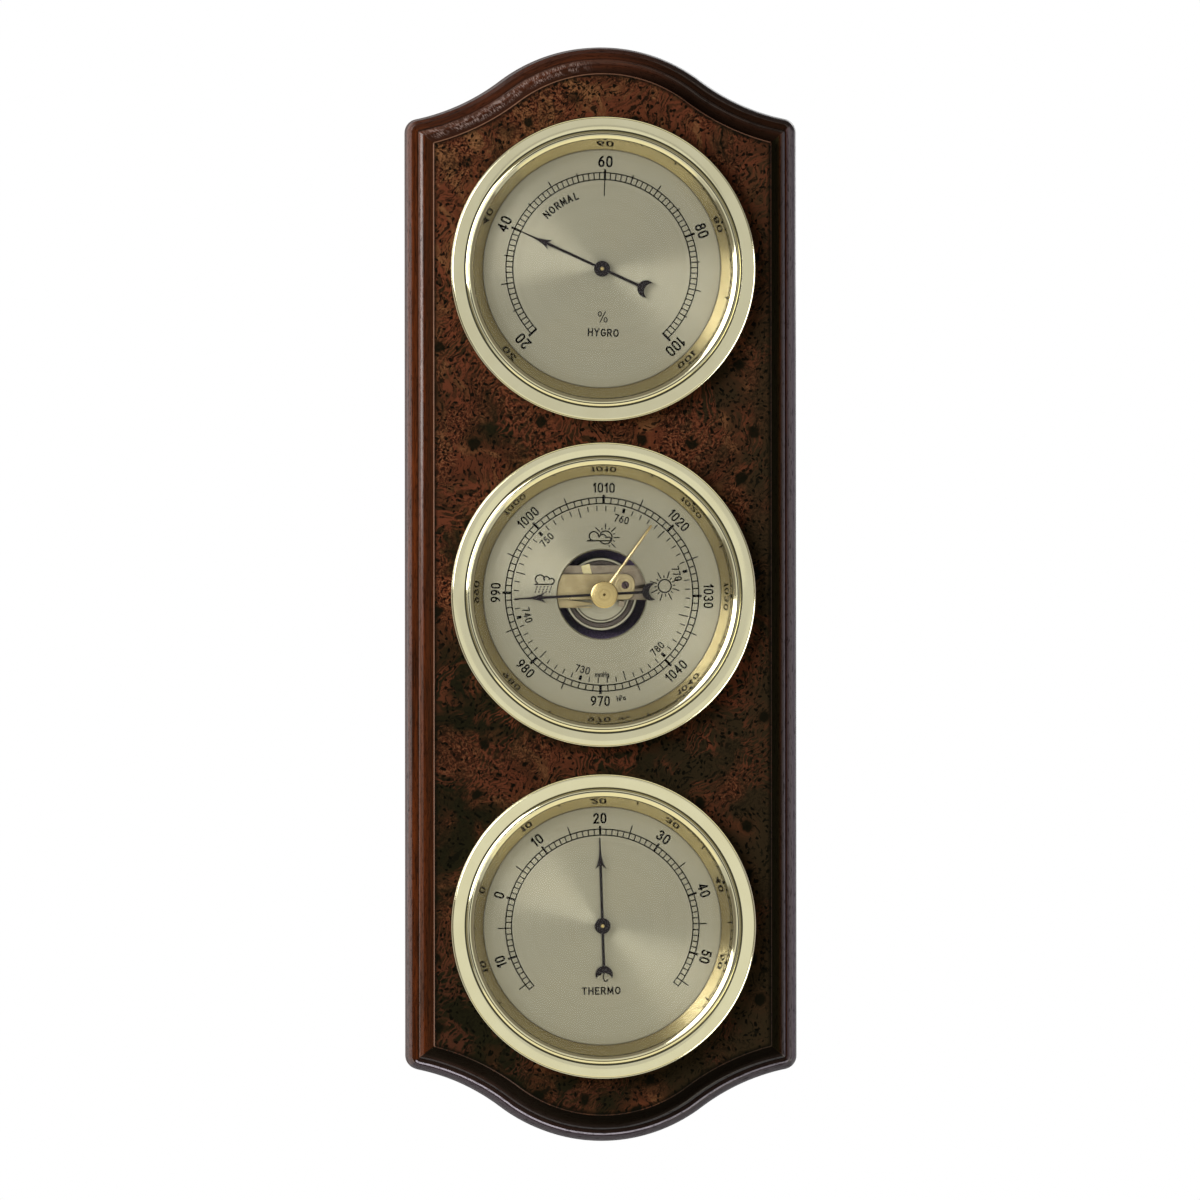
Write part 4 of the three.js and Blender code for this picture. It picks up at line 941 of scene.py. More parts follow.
def grown(tree, values):
    """The plain mesh that a Geometry Nodes tree makes from these inputs."""
    host = bpy.data.objects.new("host", bpy.data.meshes.new("host"))
    bpy.context.scene.collection.objects.link(host)
    modifier = host.modifiers.new("nodes", "NODES")
    modifier.node_group = tree
    for item in tree.interface.items_tree:
        if item.in_out == "INPUT":
            modifier[item.identifier] = values[item.name]
    mesh = bpy.data.meshes.new_from_object(host.evaluated_get(bpy.context.evaluated_depsgraph_get()))
    host.modifiers.remove(modifier)
    bpy.data.objects.remove(host)
    return mesh


DIAL_MARKS = dial_marks_tree()
WOUND_STRIP = wound_strip_tree()


def board_outline(inset):
    """The board's outline drawn in by an inset: crown, sweep and shoulder at each end, straight sides."""
    low, high = box("wood_board")
    half_width = (high[0] - low[0]) / 2
    half_height = (high[2] - low[2]) / 2
    rise = (high[2] + low[2]) / 2
    crown = (0.0, half_height - CROWN_RADIUS)
    span = CROWN_RADIUS + SWEEP_RADIUS
    sweep = (span * math.sin(CROWN_ANGLE), crown[1] + span * math.cos(CROWN_ANGLE))
    sweep_radius = SWEEP_RADIUS + inset
    shoulder_radius = max(SHOULDER_RADIUS - inset, MITRE_RADIUS)
    shoulder_x = half_width - inset - shoulder_radius
    drop = math.sqrt((sweep_radius + shoulder_radius) ** 2 - (sweep[0] - shoulder_x) ** 2)
    shoulder = (shoulder_x, sweep[1] - drop)
    shoulder_end = math.atan2(sweep[1] - shoulder[1], sweep[0] - shoulder[0])
    sweep_end = -math.pi / 2 - CROWN_ANGLE
    right = [
        *arc(shoulder, shoulder_radius, 0, shoulder_end, 8),
        *arc(sweep, sweep_radius, shoulder_end - math.pi, sweep_end, 28)[1:],
        *arc(crown, CROWN_RADIUS - inset, sweep_end + math.pi, math.pi / 2, 36)[1:],
    ]
    top = right + [(-x, z) for x, z in right[-2::-1]]
    whole = top + [(-x, -z) for x, z in top]
    return [(x, z + rise) for x, z in whole]


def edge_section(front):
    """The board's edge as inset, depth and tone: ridges are paler, as wear with a painted highlight, and
    hollows darker.
    """
    cove_top = front - ARRIS_HEIGHT
    ridge_floor = cove_top - COVE_RADIUS - RIDGE_HEIGHT
    quarter = math.pi / 2
    steps = 10
    spots = range(steps + 1)
    over = arc((ROUNDOVER_RADIUS, ridge_floor - ROUNDOVER_RADIUS), ROUNDOVER_RADIUS, math.pi, quarter, steps)
    over_tones = np.interp(spots, [0, 6, 9, 10], [0, 0, -0.1, -0.9])
    cove = []
    for turn in np.linspace(-quarter, 0, steps + 1):
        inset = FIELD_INSET - COVE_WIDTH + COVE_WIDTH * math.cos(turn)
        cove.append((inset, cove_top + COVE_DEPTH * math.sin(turn)))
    cove_tones = np.interp(spots, [0, 1, 4, 9, 10], [0.0, -0.4, -0.7, -0.5, 0.9])
    return [
        (BACK_CHAMFER, 0.0, 0.2),
        (0.0, BACK_CHAMFER, 0.4),
        (0.0, 1.2, 0.0),
        *[(inset, depth, tone) for (inset, depth), tone in zip(over, over_tones)],
        *[(ROUNDOVER_RADIUS + inset, ridge_floor + height, tone) for inset, height, tone in RIDGE],
        *[(inset, depth, tone) for (inset, depth), tone in zip(cove, cove_tones)],
        (FIELD_INSET, front, 1.0),
    ]


def moulded_board():
    """The board: moulded edge, bores for the instruments and the recess of the hanger."""
    _, front = depths("wood_board")
    section = edge_section(front)
    solid = Solid()
    rows = [solid.loop(board_outline(inset), depth, tone) for inset, depth, tone in section]
    solid.skin(rows)
    count = len(rows[0])
    side_faces = len(solid.faces)
    back_holes = []
    front_holes = []
    for name in DIALS:
        bore = [(BORE_RADIUS + BORE_CHAMFER, 0.0), (BORE_RADIUS, BORE_CHAMFER), (BORE_RADIUS, front)]
        loops = [solid.loop(circle(radius, SIDES, AXIS[name]), depth) for radius, depth in bore]
        solid.skin(loops)
        back_holes.append(loops[0])
        front_holes.append(loops[-1])
    low, high = box("hanger_plate")
    _, sheet = depths("hanger_plate")
    left, right, bottom, top = low[0] - FIT_GAP, high[0] + FIT_GAP, low[2] - FIT_GAP, high[2] + FIT_GAP
    recess = rounded_rectangle(left, right, bottom, top, HANGER_CORNER + FIT_GAP)
    bottom, top = low[2] + POCKET_WALL, high[2] - POCKET_WALL
    pocket = rounded_rectangle(-POCKET_HALF_WIDTH, POCKET_HALF_WIDTH, bottom, top, POCKET_CORNER)
    mouth = [solid.loop(recess, 0.0), solid.loop(recess, sheet)]
    well = [solid.loop(pocket, sheet), solid.loop(pocket, sheet + POCKET_DEPTH)]
    solid.wall(*mouth)
    solid.wall(*well)
    solid.cap(mouth[1], well[0])
    solid.cap(well[1])
    solid.cap(rows[0], *back_holes, mouth[0])
    solid.cap(rows[-1], *front_holes)
    piece = solid.build("moulded_board", FINISH["stained_wood"], sharp=BOARD_SHARP_ANGLE)
    lay_grain(piece.data, section, count, side_faces)
    fit(piece, "stained_wood", "station", "wood_board")


def lay_grain(mesh, section, count, side_faces):
    """Stores the grain's place at each corner and, on the edge, which way the edge faces.

    The grain runs along the moulding on the edge, and upright elsewhere.
    """
    outline = np.array(board_outline(0.0))
    after = np.roll(outline, -1, axis=0)
    along = np.concatenate([[0.0], np.cumsum(np.linalg.norm(after - outline, axis=1))])
    ahead = after - np.roll(outline, 1, axis=0)
    ahead /= np.linalg.norm(ahead, axis=1)[:, None]
    for name in ("grain", "outward"):
        mesh.attributes.new(name, "FLOAT_VECTOR", "CORNER")
    grain = mesh.attributes["grain"]
    outward = mesh.attributes["outward"]
    for polygon in mesh.polygons:
        on_edge = polygon.index < side_faces
        seam = on_edge and {k % count for k in polygon.vertices} == {0, count - 1}
        for loop in polygon.loop_indices:
            k = mesh.loops[loop].vertex_index
            if on_edge:
                inset, depth, _ = section[k // count]
                i = count if seam and k % count == 0 else k % count
                grain.data[loop].vector = (inset, depth, along[i])
                step_x, step_z = ahead[k % count]
                outward.data[loop].vector = (step_z, 0.0, -step_x)
            else:
                x, y, z = mesh.vertices[k].co / MM
                grain.data[loop].vector = (x, -y, z)


def burl_field():
    """The veneered field: broken rim, a dark line just inside it, and the three bores."""
    back, front = depths("burl_veneer")
    solid = Solid()
    rows = [solid.loop(board_outline(FIELD_INSET), back)]
    for inset, drop, tone in VENEER_RIM:
        rows.append(solid.loop(board_outline(FIELD_INSET + inset), front - drop, tone))
    solid.skin(rows)
    holes = []
    for name in DIALS:
        ends = [solid.loop(circle(BORE_RADIUS, SIDES, AXIS[name]), depth) for depth in (back, front)]
        solid.wall(*ends)
        holes.append(ends)
    solid.cap(rows[0], *[ends[0] for ends in holes])
    solid.cap(rows[-1], *[ends[1] for ends in holes])
    piece = solid.build("burl_field", FINISH["burl"])
    fit(piece, "burl", "station", "burl_veneer")


def keyhole(top, drop, radius, half_width):
    """Outline of a keyhole whose slot ends round a point."""
    rise = math.sqrt(radius ** 2 - half_width ** 2)
    start = math.atan2(rise, half_width)
    return [
        *arc((0.0, top), half_width, 0, math.pi, 12),
        *arc((0.0, top - drop), radius, math.pi - start, 2 * math.pi + start, 32),
    ]


def hanger():
    """The keyhole plate and its two countersunk screws."""
    low, high = box("hanger_plate")
    back, front = depths("hanger_plate")
    outline = rounded_rectangle(low[0], high[0], low[2], high[2], HANGER_CORNER)
    screws = ("hanger_screw_left", "hanger_screw_right")
    holes = [keyhole(0.0, KEYHOLE_DROP, KEYHOLE_RADIUS, SLOT_HALF_WIDTH)]
    holes += [circle(reach(node) + FIT_GAP, SMALL_SIDES, middle(node)) for node in screws]
    piece = plate([outline, *holes], back, front, 0.15).build("keyhole_plate", FINISH["zinc"])
    fit(piece, "zinc", "station", "hanger_plate")
    for node, angle in zip(screws, (24, -51)):
        head = reach(node)
        shank = 1.2
        _, tip = depths(node)
        profile = [(0, 0), (head, 0), (head, 0.15), (shank, 1.2), (shank, tip - 1.5), (0, tip)]
        profile = eased(profile, 0.08, False)
        screw = spun(f"{node}_slotted", profile, middle(node), "zinc", SMALL_SIDES)
        slotted(screw, middle(node), 0.35, head + 1, -1, 0.6, angle)
        fit(screw, "zinc", "station", node)


def bezel_ring(name):
    """Spun bezel: rim bead and hairline groove, flat front, two bands and the lip over the glass."""
    node = f"{name}_bezel"
    outer = reach(node)
    back, front = depths(node)
    _, glass = depths(f"{name}_glass")
    profile = [
        (SKIRT_RADIUS, back),
        (outer - 0.1, back),
        (outer, back + 0.1),
        (outer, front - 0.55),
        (outer - 0.05, front - 0.3),
        (outer - 0.16, front - 0.1),
        (outer - 0.3, front - 0.03, 0.0),
        (outer - 0.44, front - 0.08, -0.1),
        (outer - 0.52, front - 0.14, -0.4),
        (outer - 0.6, front - 0.08, -0.1),
        (outer - 0.72, front - 0.02, 0.0),
        (outer - 1.0, front, 0.0),
        (FLAT_INNER_RADIUS + 0.2, front, 0.0),
        (FLAT_INNER_RADIUS + 0.03, front - 0.05, 0.0),
        (FLAT_INNER_RADIUS - 0.02, front - 0.3, -0.7),
        (FLAT_INNER_RADIUS - 0.08, front - 0.6, -1.0),
        *[(FLAT_INNER_RADIUS - inset, front - drop, tone) for inset, drop, tone in BANDS],
        (SIGHT_RADIUS, front - 1.75, 0.0),
        (SIGHT_RADIUS, glass),
        (FLAT_INNER_RADIUS - 1.5, glass),
        (FLAT_INNER_RADIUS, front - 0.95),
        (SKIRT_RADIUS, front - 0.95),
    ]
    piece = spun(f"{name}_bezel_ring", profile, AXIS[name], "gilt", sharp=TURNED_SHARP_ANGLE)
    fit(piece, "gilt", "station", node)


def mirror_ring(name):
    """Conical mirror between the dial and the glass."""
    node = f"{name}_reflector"
    back, front = depths(node)
    rim = reach(node)
    profile = [
        (MIRROR_FOOT, back),
        (MIRROR_FOOT + MIRROR_SHEET, back),
        (SIGHT_RADIUS + MIRROR_SHEET, front - MIRROR_SHEET),
        (rim, front - MIRROR_SHEET),
        (rim, front),
        (SIGHT_RADIUS, front),
    ]
    piece = spun(f"{name}_mirror_ring", profile, AXIS[name], "mirror_gilt", MIRROR_SIDES)
    fit(piece, "mirror_gilt", "station", node)


def glass_pane(name):
    """Flat pane with ground edges; the barometer's has a hole for the knob's shaft."""
    node = f"{name}_glass"
    back, front = depths(node)
    rim = reach(node)
    hole = SHAFT_HOLE if name == "barometer" else 0
    profile = eased([(hole, back), (rim, back), (rim, front), (hole, front)], 0.12, hole > 0)
    piece = spun(f"{name}_glass_pane", profile, AXIS[name], "glass")
    fit(piece, "glass", "station", node)


def dial_plate(name):
    """Dial metal: a window in the barometer's, a small hole for the arbor in the others."""
    node = f"{name}_dial"
    back, front = depths(node)
    rim = reach(node)
    hole, bevel = (WINDOW_RADIUS, 0.45) if name == "barometer" else (DIAL_HOLE, 0.12)
    profile = [(hole, back), (rim, back), (rim, front), (hole + bevel, front), (hole, front - bevel)]
    piece = spun(f"{name}_dial_plate", profile, AXIS[name], "champagne")
    fit(piece, "champagne", "station", node)


def spun_case(name):
    """Spun brass case, dark inside with painted shade; its back shows through the board."""
    node = f"{name}_case"
    back, front = depths(node)
    dial_back, _ = depths(f"{name}_dial")
    flange = reach(node)
    seat = depths(f"{name}_bezel")[0]
    outside = BARREL_RADIUS + CASE_SHEET
    corner = 1.6
    profile = [
        (0, back),
        (outside - 7.5, back),
        (outside - 6.9, back + 0.25, -0.8),
        (outside - 6.3, back),
        *arc((outside - corner, back + corner), corner, -math.pi / 2, 0, 6),
        (outside, dial_back - CASE_SHEET),
        (MOUTH_RADIUS + CASE_SHEET, dial_back - CASE_SHEET),
        (MOUTH_RADIUS + CASE_SHEET, seat),
        (flange, seat),
        (flange, front),
        (MOUTH_RADIUS, front),
        (MOUTH_RADIUS, dial_back),
        (BARREL_RADIUS, dial_back),
        (BARREL_RADIUS, back + CASE_SHEET),
        (0, back + CASE_SHEET),
    ]
    piece = spun(f"{name}_spun_case", profile, AXIS[name], "case_brass")
    # The inside faces take the dark coat of painted shade
    piece.data.materials.append(FINISH["case_inside_shade"])
    for polygon in piece.data.polygons:
        x, y, z = polygon.center / MM
        near = math.hypot(x - AXIS[name][0], z - AXIS[name][1]) < BARREL_RADIUS + 0.01
        if near and -y > back + CASE_SHEET - 0.01:
            polygon.material_index = 1
    fit(piece, "case_brass", "station", node)


def hand_outline():
    """A pointer drawn straight up: thin tip, concave arrow head, hub, tail and crescent counterweight."""
    head = [(0.44, 20.4), (1.9, 19.2), (1.25, 20.6), (0.74, 22.1), (0.42, 23.7), (0.27, 25.2)]
    tip = (0.22, 29.7)
    hub = arc((0.0, 0.0), 2.7, math.radians(-80.4), math.radians(80.4), 24)
    moon = arc((0.0, -16.4), 2.95, math.radians(81), math.radians(-27.4), 18)
    bite = arc((0.0, -18.6), 2.74, math.radians(17.9), math.radians(90), 10)
    right = [*bite[::-1], *moon[::-1], *hub, *head, tip]
    left = [(-x, z) for x, z in right[::-1] if x > 1e-6]
    return right + left


def hand(name):
    """The pointer, its crimped boss and the arbor that carries it."""
    node = f"{name}_pointer"
    axis = AXIS[name]
    turn = HAND_TURN[name]
    back, front = depths(node)
    outlines = [swung(hand_outline(), turn, axis), circle(ARBOR_HOLE, SMALL_SIDES, axis)]
    piece = plate(outlines, back, front, 0.08).build(f"{name}_hand", FINISH["black"], axis)
    fit(piece, "black", f"{name}_movement", node)
    if name == "barometer":
        arbor = softened("barometer_arbor", "barometer_pinion_arbor", FINISH["brass"], 0.04)
    else:
        end, tip = depths(f"{name}_arbor")
        profile = eased([(0, end), (ARBOR_RADIUS, end), (ARBOR_RADIUS, tip), (0, tip)], 0.12, False)
        arbor = spun(f"{name}_hand_arbor", profile, axis, "turned_brass", SMALL_SIDES)
    fit(arbor, "brass", f"{name}_movement", f"{name}_arbor")


def adjusting_screw(name):
    """Slotted calibrating screw in the case back."""
    node = f"{name}_adjuster"
    centre = middle(node)
    back, tip = depths(node)
    head = 3.5
    shank = 1.5
    profile = [(0, back), (head - 0.25, back), (head, back + 0.25), (head, back + 0.9), (shank, back + 0.9)]
    profile += [(shank, tip - 0.2), (shank - 0.2, tip), (0, tip)]
    profile = eased(profile, 0.06, False)
    piece = spun(f"{name}_adjusting_screw", profile, centre, "turned_brass", SMALL_SIDES)
    slotted(piece, centre, 0.4, head + 1, back - 1, back + 0.5, 90)
    fit(piece, "brass", node, node)


def wound(coil, finish, slot, axis, turns, strip, inner, outer):
    """A wound strip in place of a CAD spiral, between the radii that its two sides reach."""
    back, front = depths(coil)
    values = {
        "Turns": turns,
        "Inner radius": inner + strip / 2,
        "Outer radius": outer - strip / 2,
        "Strip": strip,
        "Height": front - back,
        "Centre": (axis[0], -(back + front) / 2, axis[1]),
        "Metal": FINISH[finish],
    }
    fit(shown(f"{coil}_wound", grown(WOUND_STRIP, values)), slot, "station", coil)


def coil_movement(name, coil, finish, turns, strip):
    """Bridge under the dial and the strip that winds between it and the arbor."""
    axis = AXIS[name]
    wound(coil, finish, finish, axis, turns, strip, COIL_INNER_RADIUS, reach_of_spiral(coil, axis))
    bridge = softened(f"{name}_bridge", f"{name}_bent_bridge", FINISH["steel"], 0.15)
    fit(bridge, "steel", "station", f"{name}_bridge")


def reach_of_spiral(node, axis):
    """Largest distance of a CAD spiral from its axis."""
    places = np.array([vertex.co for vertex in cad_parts[node].data.vertices]) / MM
    return np.hypot(places[:, 0] - axis[0], places[:, 2] - axis[1]).max()


def ribbon(solid, spots, pen, back, front):
    """Adds one smooth ribbon; it is closed where it ends at its start."""
    closed = len(spots) > 2 and np.allclose(spots[0], spots[-1])
    if closed:
        spots = spots[:-1]
        before = spots - np.roll(spots, 1, axis=0)
        after = np.roll(spots, -1, axis=0) - spots
    else:
        steps = np.diff(spots, axis=0)
        before = np.concatenate([steps[:1], steps])
        after = np.concatenate([steps, steps[-1:]])
    before = before / np.linalg.norm(before, axis=1)[:, None]
    after = after / np.linalg.norm(after, axis=1)[:, None]
    if not closed:
        spots[0] -= after[0] * pen / 2
        spots[-1] += before[-1] * pen / 2
    across = np.stack([-(before + after)[:, 1], (before + after)[:, 0]], axis=1)
    share = np.sum(across * np.stack([-before[:, 1], before[:, 0]], axis=1), axis=1)
    across *= (pen / 2 / np.maximum(share, PEN_MITRE))[:, None]
    sides = [spots + across, spots - across]
    rows = [[solid.loop(side, depth) for side in sides] for depth in (back, front)]
    (left_back, right_back), (left_front, right_front) = rows
    solid.wall(left_back, right_back, closed)
    solid.wall(left_front, right_front, closed)
    solid.wall(left_back, left_front, closed)
    solid.wall(right_back, right_front, closed)
    if not closed:
        for end in (0, -1):
            solid.faces.append((left_back[end], right_back[end], right_front[end], left_front[end]))


def bow(x, z, wide, tall, first, last):
    """Part of an ellipse in a letter's unit box, in degrees anticlockwise from the right."""
    turns = np.radians(np.linspace(first, last, max(5, int(abs(last - first) / 15)) + 1))
    return [(x + wide * math.cos(t), z + tall * math.sin(t)) for t in turns]


SIX = [bow(0.5, 0.3, 0.5, 0.3, 0, 360), bow(1.0, 0.3, 1.0, 0.7, 105, 180)]

# Each sign's width as a share of its height, and its pen lines in a unit box
SIGNS = {
    "0": (0.4, [bow(0.5, 0.7, 0.5, 0.3, 0, 180) + bow(0.5, 0.3, 0.5, 0.3, 180, 360) + [(1.0, 0.7)]]),
    "1": (0.2, [[(0.0, 0.76), (0.85, 1.0), (0.85, 0.0)]]),
    "2": (0.4, [bow(0.5, 0.73, 0.48, 0.27, 170, -35) + [(0.0, 0.0), (1.0, 0.0)]]),
    "3": (0.4, [bow(0.46, 0.77, 0.44, 0.23, 160, -80) + bow(0.47, 0.27, 0.53, 0.27, 75, -160)]),
    "4": (0.44, [[(0.7, 0.0), (0.7, 1.0), (0.0, 0.27), (1.0, 0.27)]]),
    "5": (0.4, [[(0.92, 1.0), (0.16, 1.0), (0.1, 0.54)] + bow(0.48, 0.32, 0.5, 0.32, 128, -155)]),
    "6": (0.4, SIX),
    "7": (0.4, [[(0.0, 1.0), (1.0, 1.0), (0.36, 0.0)]]),
    "8": (0.4, [bow(0.5, 0.76, 0.42, 0.24, -90, 270), bow(0.5, 0.27, 0.5, 0.27, 90, 450)]),
    "9": (0.4, [[(1 - x, 1 - z) for x, z in line] for line in SIX]),
    "A": (0.5, [[(0.0, 0.0), (0.5, 1.0), (1.0, 0.0)], [(0.18, 0.32), (0.82, 0.32)]]),
    "C": (0.46, [bow(0.52, 0.5, 0.52, 0.5, 45, 315)]),
    "E": (0.38, [[(1.0, 1.0), (0.0, 1.0), (0.0, 0.0), (1.0, 0.0)], [(0.0, 0.52), (0.85, 0.52)]]),
    "G": (0.48, [bow(0.52, 0.5, 0.52, 0.5, 48, 312) + [(1.0, 0.2), (1.0, 0.46), (0.6, 0.46)]]),
    "H": (0.46, [[(0.0, 0.0), (0.0, 1.0)], [(1.0, 0.0), (1.0, 1.0)], [(0.0, 0.52), (1.0, 0.52)]]),
    "L": (0.36, [[(0.0, 1.0), (0.0, 0.0), (1.0, 0.0)]]),
    "M": (0.58, [[(0.0, 0.0), (0.06, 1.0), (0.5, 0.2), (0.94, 1.0), (1.0, 0.0)]]),
    "N": (0.48, [[(0.0, 0.0), (0.0, 1.0), (1.0, 0.0), (1.0, 1.0)]]),
    "O": (0.52, [bow(0.5, 0.5, 0.5, 0.5, 0, 360)]),
    "P": (0.42, [[(0.0, 0.0), (0.0, 1.0)] + bow(0.5, 0.74, 0.48, 0.26, 90, -90) + [(0.0, 0.48)]]),
    "R": (
        0.44,
        [
            [(0.0, 0.0), (0.0, 1.0)] + bow(0.52, 0.75, 0.46, 0.25, 90, -90) + [(0.0, 0.5)],
            [(0.5, 0.5), (1.0, 0.0)],
        ],
    ),
    "T": (0.46, [[(0.0, 1.0), (1.0, 1.0)], [(0.5, 1.0), (0.5, 0.0)]]),
    "Y": (0.48, [[(0.0, 1.0), (0.5, 0.48), (1.0, 1.0)], [(0.5, 0.48), (0.5, 0.0)]]),
    "a": (0.4, [bow(0.46, 0.3, 0.46, 0.3, 0, 360), [(0.96, 0.6), (0.96, 0.0)]]),
    "g": (
        0.4,
        [bow(0.46, 0.3, 0.46, 0.3, 0, 360), [(0.96, 0.6)] + bow(0.5, -0.1, 0.46, 0.2, 0, -150)],
    ),
    "h": (0.38, [[(0.0, 0.0), (0.0, 1.0)], bow(0.5, 0.36, 0.5, 0.26, 165, 0) + [(1.0, 0.0)]]),
    "m": (
        0.66,
        [
            [(0.0, 0.0), (0.0, 0.62)],
            bow(0.25, 0.4, 0.25, 0.22, 170, 0) + [(0.5, 0.0)],
            bow(0.75, 0.4, 0.25, 0.22, 170, 0) + [(1.0, 0.0)],
        ],
    ),
    "%": (
        0.78,
        [
            [(0.78, 1.0), (0.22, 0.0)],
            bow(0.17, 0.77, 0.17, 0.21, 0, 360),
            bow(0.83, 0.23, 0.17, 0.21, 0, 360),
        ],
    ),
    "°": (0.22, [bow(0.5, 0.84, 0.5, 0.14, 0, 360)]),
}


class DialPrint:
    """Raised print on a dial; marks and numerals are given at angles before the dial's own turn."""

    def __init__(self, name):
        _, face = depths(f"{name}_dial")
        self.solid = Solid()
        self.axis = AXIS[name]
        self.turn = DIAL_TURN[name]
        self.back = face - PRINT_HEIGHT
        self.front = face + PRINT_HEIGHT

    def spot(self, x, z):
        """A place given from the dial's axis."""
        return self.axis[0] + x, self.axis[1] + z

    def stroke(self, points, pen):
        """Adds a pen line as thin raised ribbons, one for each stretch between its sharp corners."""
        spots = np.array(points, float)
        steps = np.diff(spots, axis=0)
        steps /= np.linalg.norm(steps, axis=1)[:, None]
        corners = [i + 1 for i in range(len(steps) - 1) if np.dot(steps[i], steps[i + 1]) < BEND_COSINE]
        for first, last in zip([0, *corners], [*corners, len(spots) - 1]):
            ribbon(self.solid, spots[first:last + 1].copy(), pen, self.back, self.front)

    def words(self, text, height, pen, centre, turn, gap=None, width=None):
        """Adds a straight line of signs about a centre, turned clockwise by degrees."""
        between = pen + (height * 0.12 if gap is None else gap)
        wides = [SIGNS[sign][0] * height for sign in text]
        total = sum(wides) + between * (len(text) - 1)
        stretch = 1.0 if width is None else (width - pen) / total
        x = -total / 2
        for sign, wide in zip(text, wides):
            for line in SIGNS[sign][1]:
                spots = [((x + u * wide) * stretch, (v - 0.5) * (height - pen)) for u, v in line]
                self.stroke(swung(spots, turn, centre), pen)
            x += wide + between

    def curved_words(self, text, height, pen, radius, angle, span):
        """Adds signs spread along an arc about the dial's axis, their tops outwards."""
        for i, sign in enumerate(text):
            turn = angle + self.turn + (i / (len(text) - 1) - 0.5) * span
            self.words(sign, height, pen, swung([(0.0, radius)], turn, self.axis)[0], turn)

    def numerals(self, labels, height, pen, radius, flip=False):
        """Adds numerals about the dial's axis; flip turns the lower ones up."""
        for angle, label in labels.items():
            turn = angle + self.turn
            centre = swung([(0.0, radius)], turn, self.axis)[0]
            lower = flip and abs(angle) > LOWER_ANGLE
            self.words(label, height, pen, centre, turn + (180 if lower else 0))

    def marks(self, count, first, step, inner, outer, line, centre=None):
        """Adds evenly spaced marks about the dial's axis, or about a sign's own centre."""
        x, z = centre or self.axis
        values = {
            "Marks": count,
            "First angle": math.radians(first + (0 if centre else self.turn)),
            "Step": math.radians(step),
            "Inner radius": inner,
            "Outer radius": outer,
            "Line": line,
            "Height": self.front - self.back,
            "Centre": (x, -(self.back + self.front) / 2, z),
            "Ink": FINISH["ink"],
        }
        self.solid.absorb(grown(DIAL_MARKS, values))

    def track(self, radius, first, last, line):
        """Adds a thin line along the scale, between angles that take in the dial's turn."""
        turns = np.linspace(first, last, TRACK_POINTS)
        points = [swung([(0.0, radius)], turn, self.axis)[0] for turn in turns]
        if last - first == 360:
            points[-1] = points[0]
        self.stroke(points, line)


def hygrometer_print(dial):
    """Scale from 20 to 100 per cent, and the range that counts as normal."""
    step = 3.365
    first = -40 * step
    inner, outer = 30.1, 32.4
    for radius in (inner, outer):
        dial.track(radius, first + dial.turn, -first + dial.turn, 0.4)
    dial.marks(81, first, step, inner, outer, 0.38)
    dial.marks(8, first + 5 * step, 10 * step, inner, 33.3, 0.42)
    dial.marks(4, first + 10 * step, 20 * step, inner, 34.4, 0.42)
    dial.marks(5, first, 20 * step, 29.95, 33.6, 0.76)
    dial.marks(2, -20 * step, 20 * step, 24.5, inner, 0.36)
    labels = {(value - 60) * step: str(value) for value in range(20, 101, 20)}
    dial.numerals(labels, 3.9, 0.64, 36.2)
    dial.curved_words("NORMAL", 2.7, 0.5, 26.0, -34.5, 26)
    dial.words("%", 3.9, 0.34, dial.spot(0.3, -16.3), dial.turn)
    dial.words("HYGRO", 2.7, 0.46, dial.spot(0.5, -21.6), dial.turn, 0.35, 10.5)


def thermometer_print(dial):
    """Scale about 20 degrees, with a number at every ten."""
    step = 3.6
    inner, outer = 30.7, 32.7
    for radius in (inner, outer):
        dial.track(radius, -36 * step + dial.turn, 36 * step + dial.turn, 0.4)
    dial.marks(73, -36 * step, step, inner, outer, 0.38)
    dial.marks(8, -35 * step, 10 * step, inner, 35.4, 0.4)
    dial.marks(7, -30 * step, 10 * step, 30.5, 33.8, 0.72)
    labels = {(value - 20) * step: str(abs(value)) for value in range(-10, 51, 10)}
    dial.numerals(labels, 3.6, 0.6, 36.4)
    dial.words("°C", 3.5, 0.42, dial.spot(0.3, -17.2), dial.turn)
    dial.words("THERMO", 2.6, 0.46, dial.spot(-0.4, -21.9), dial.turn, 0.35, 13.2)


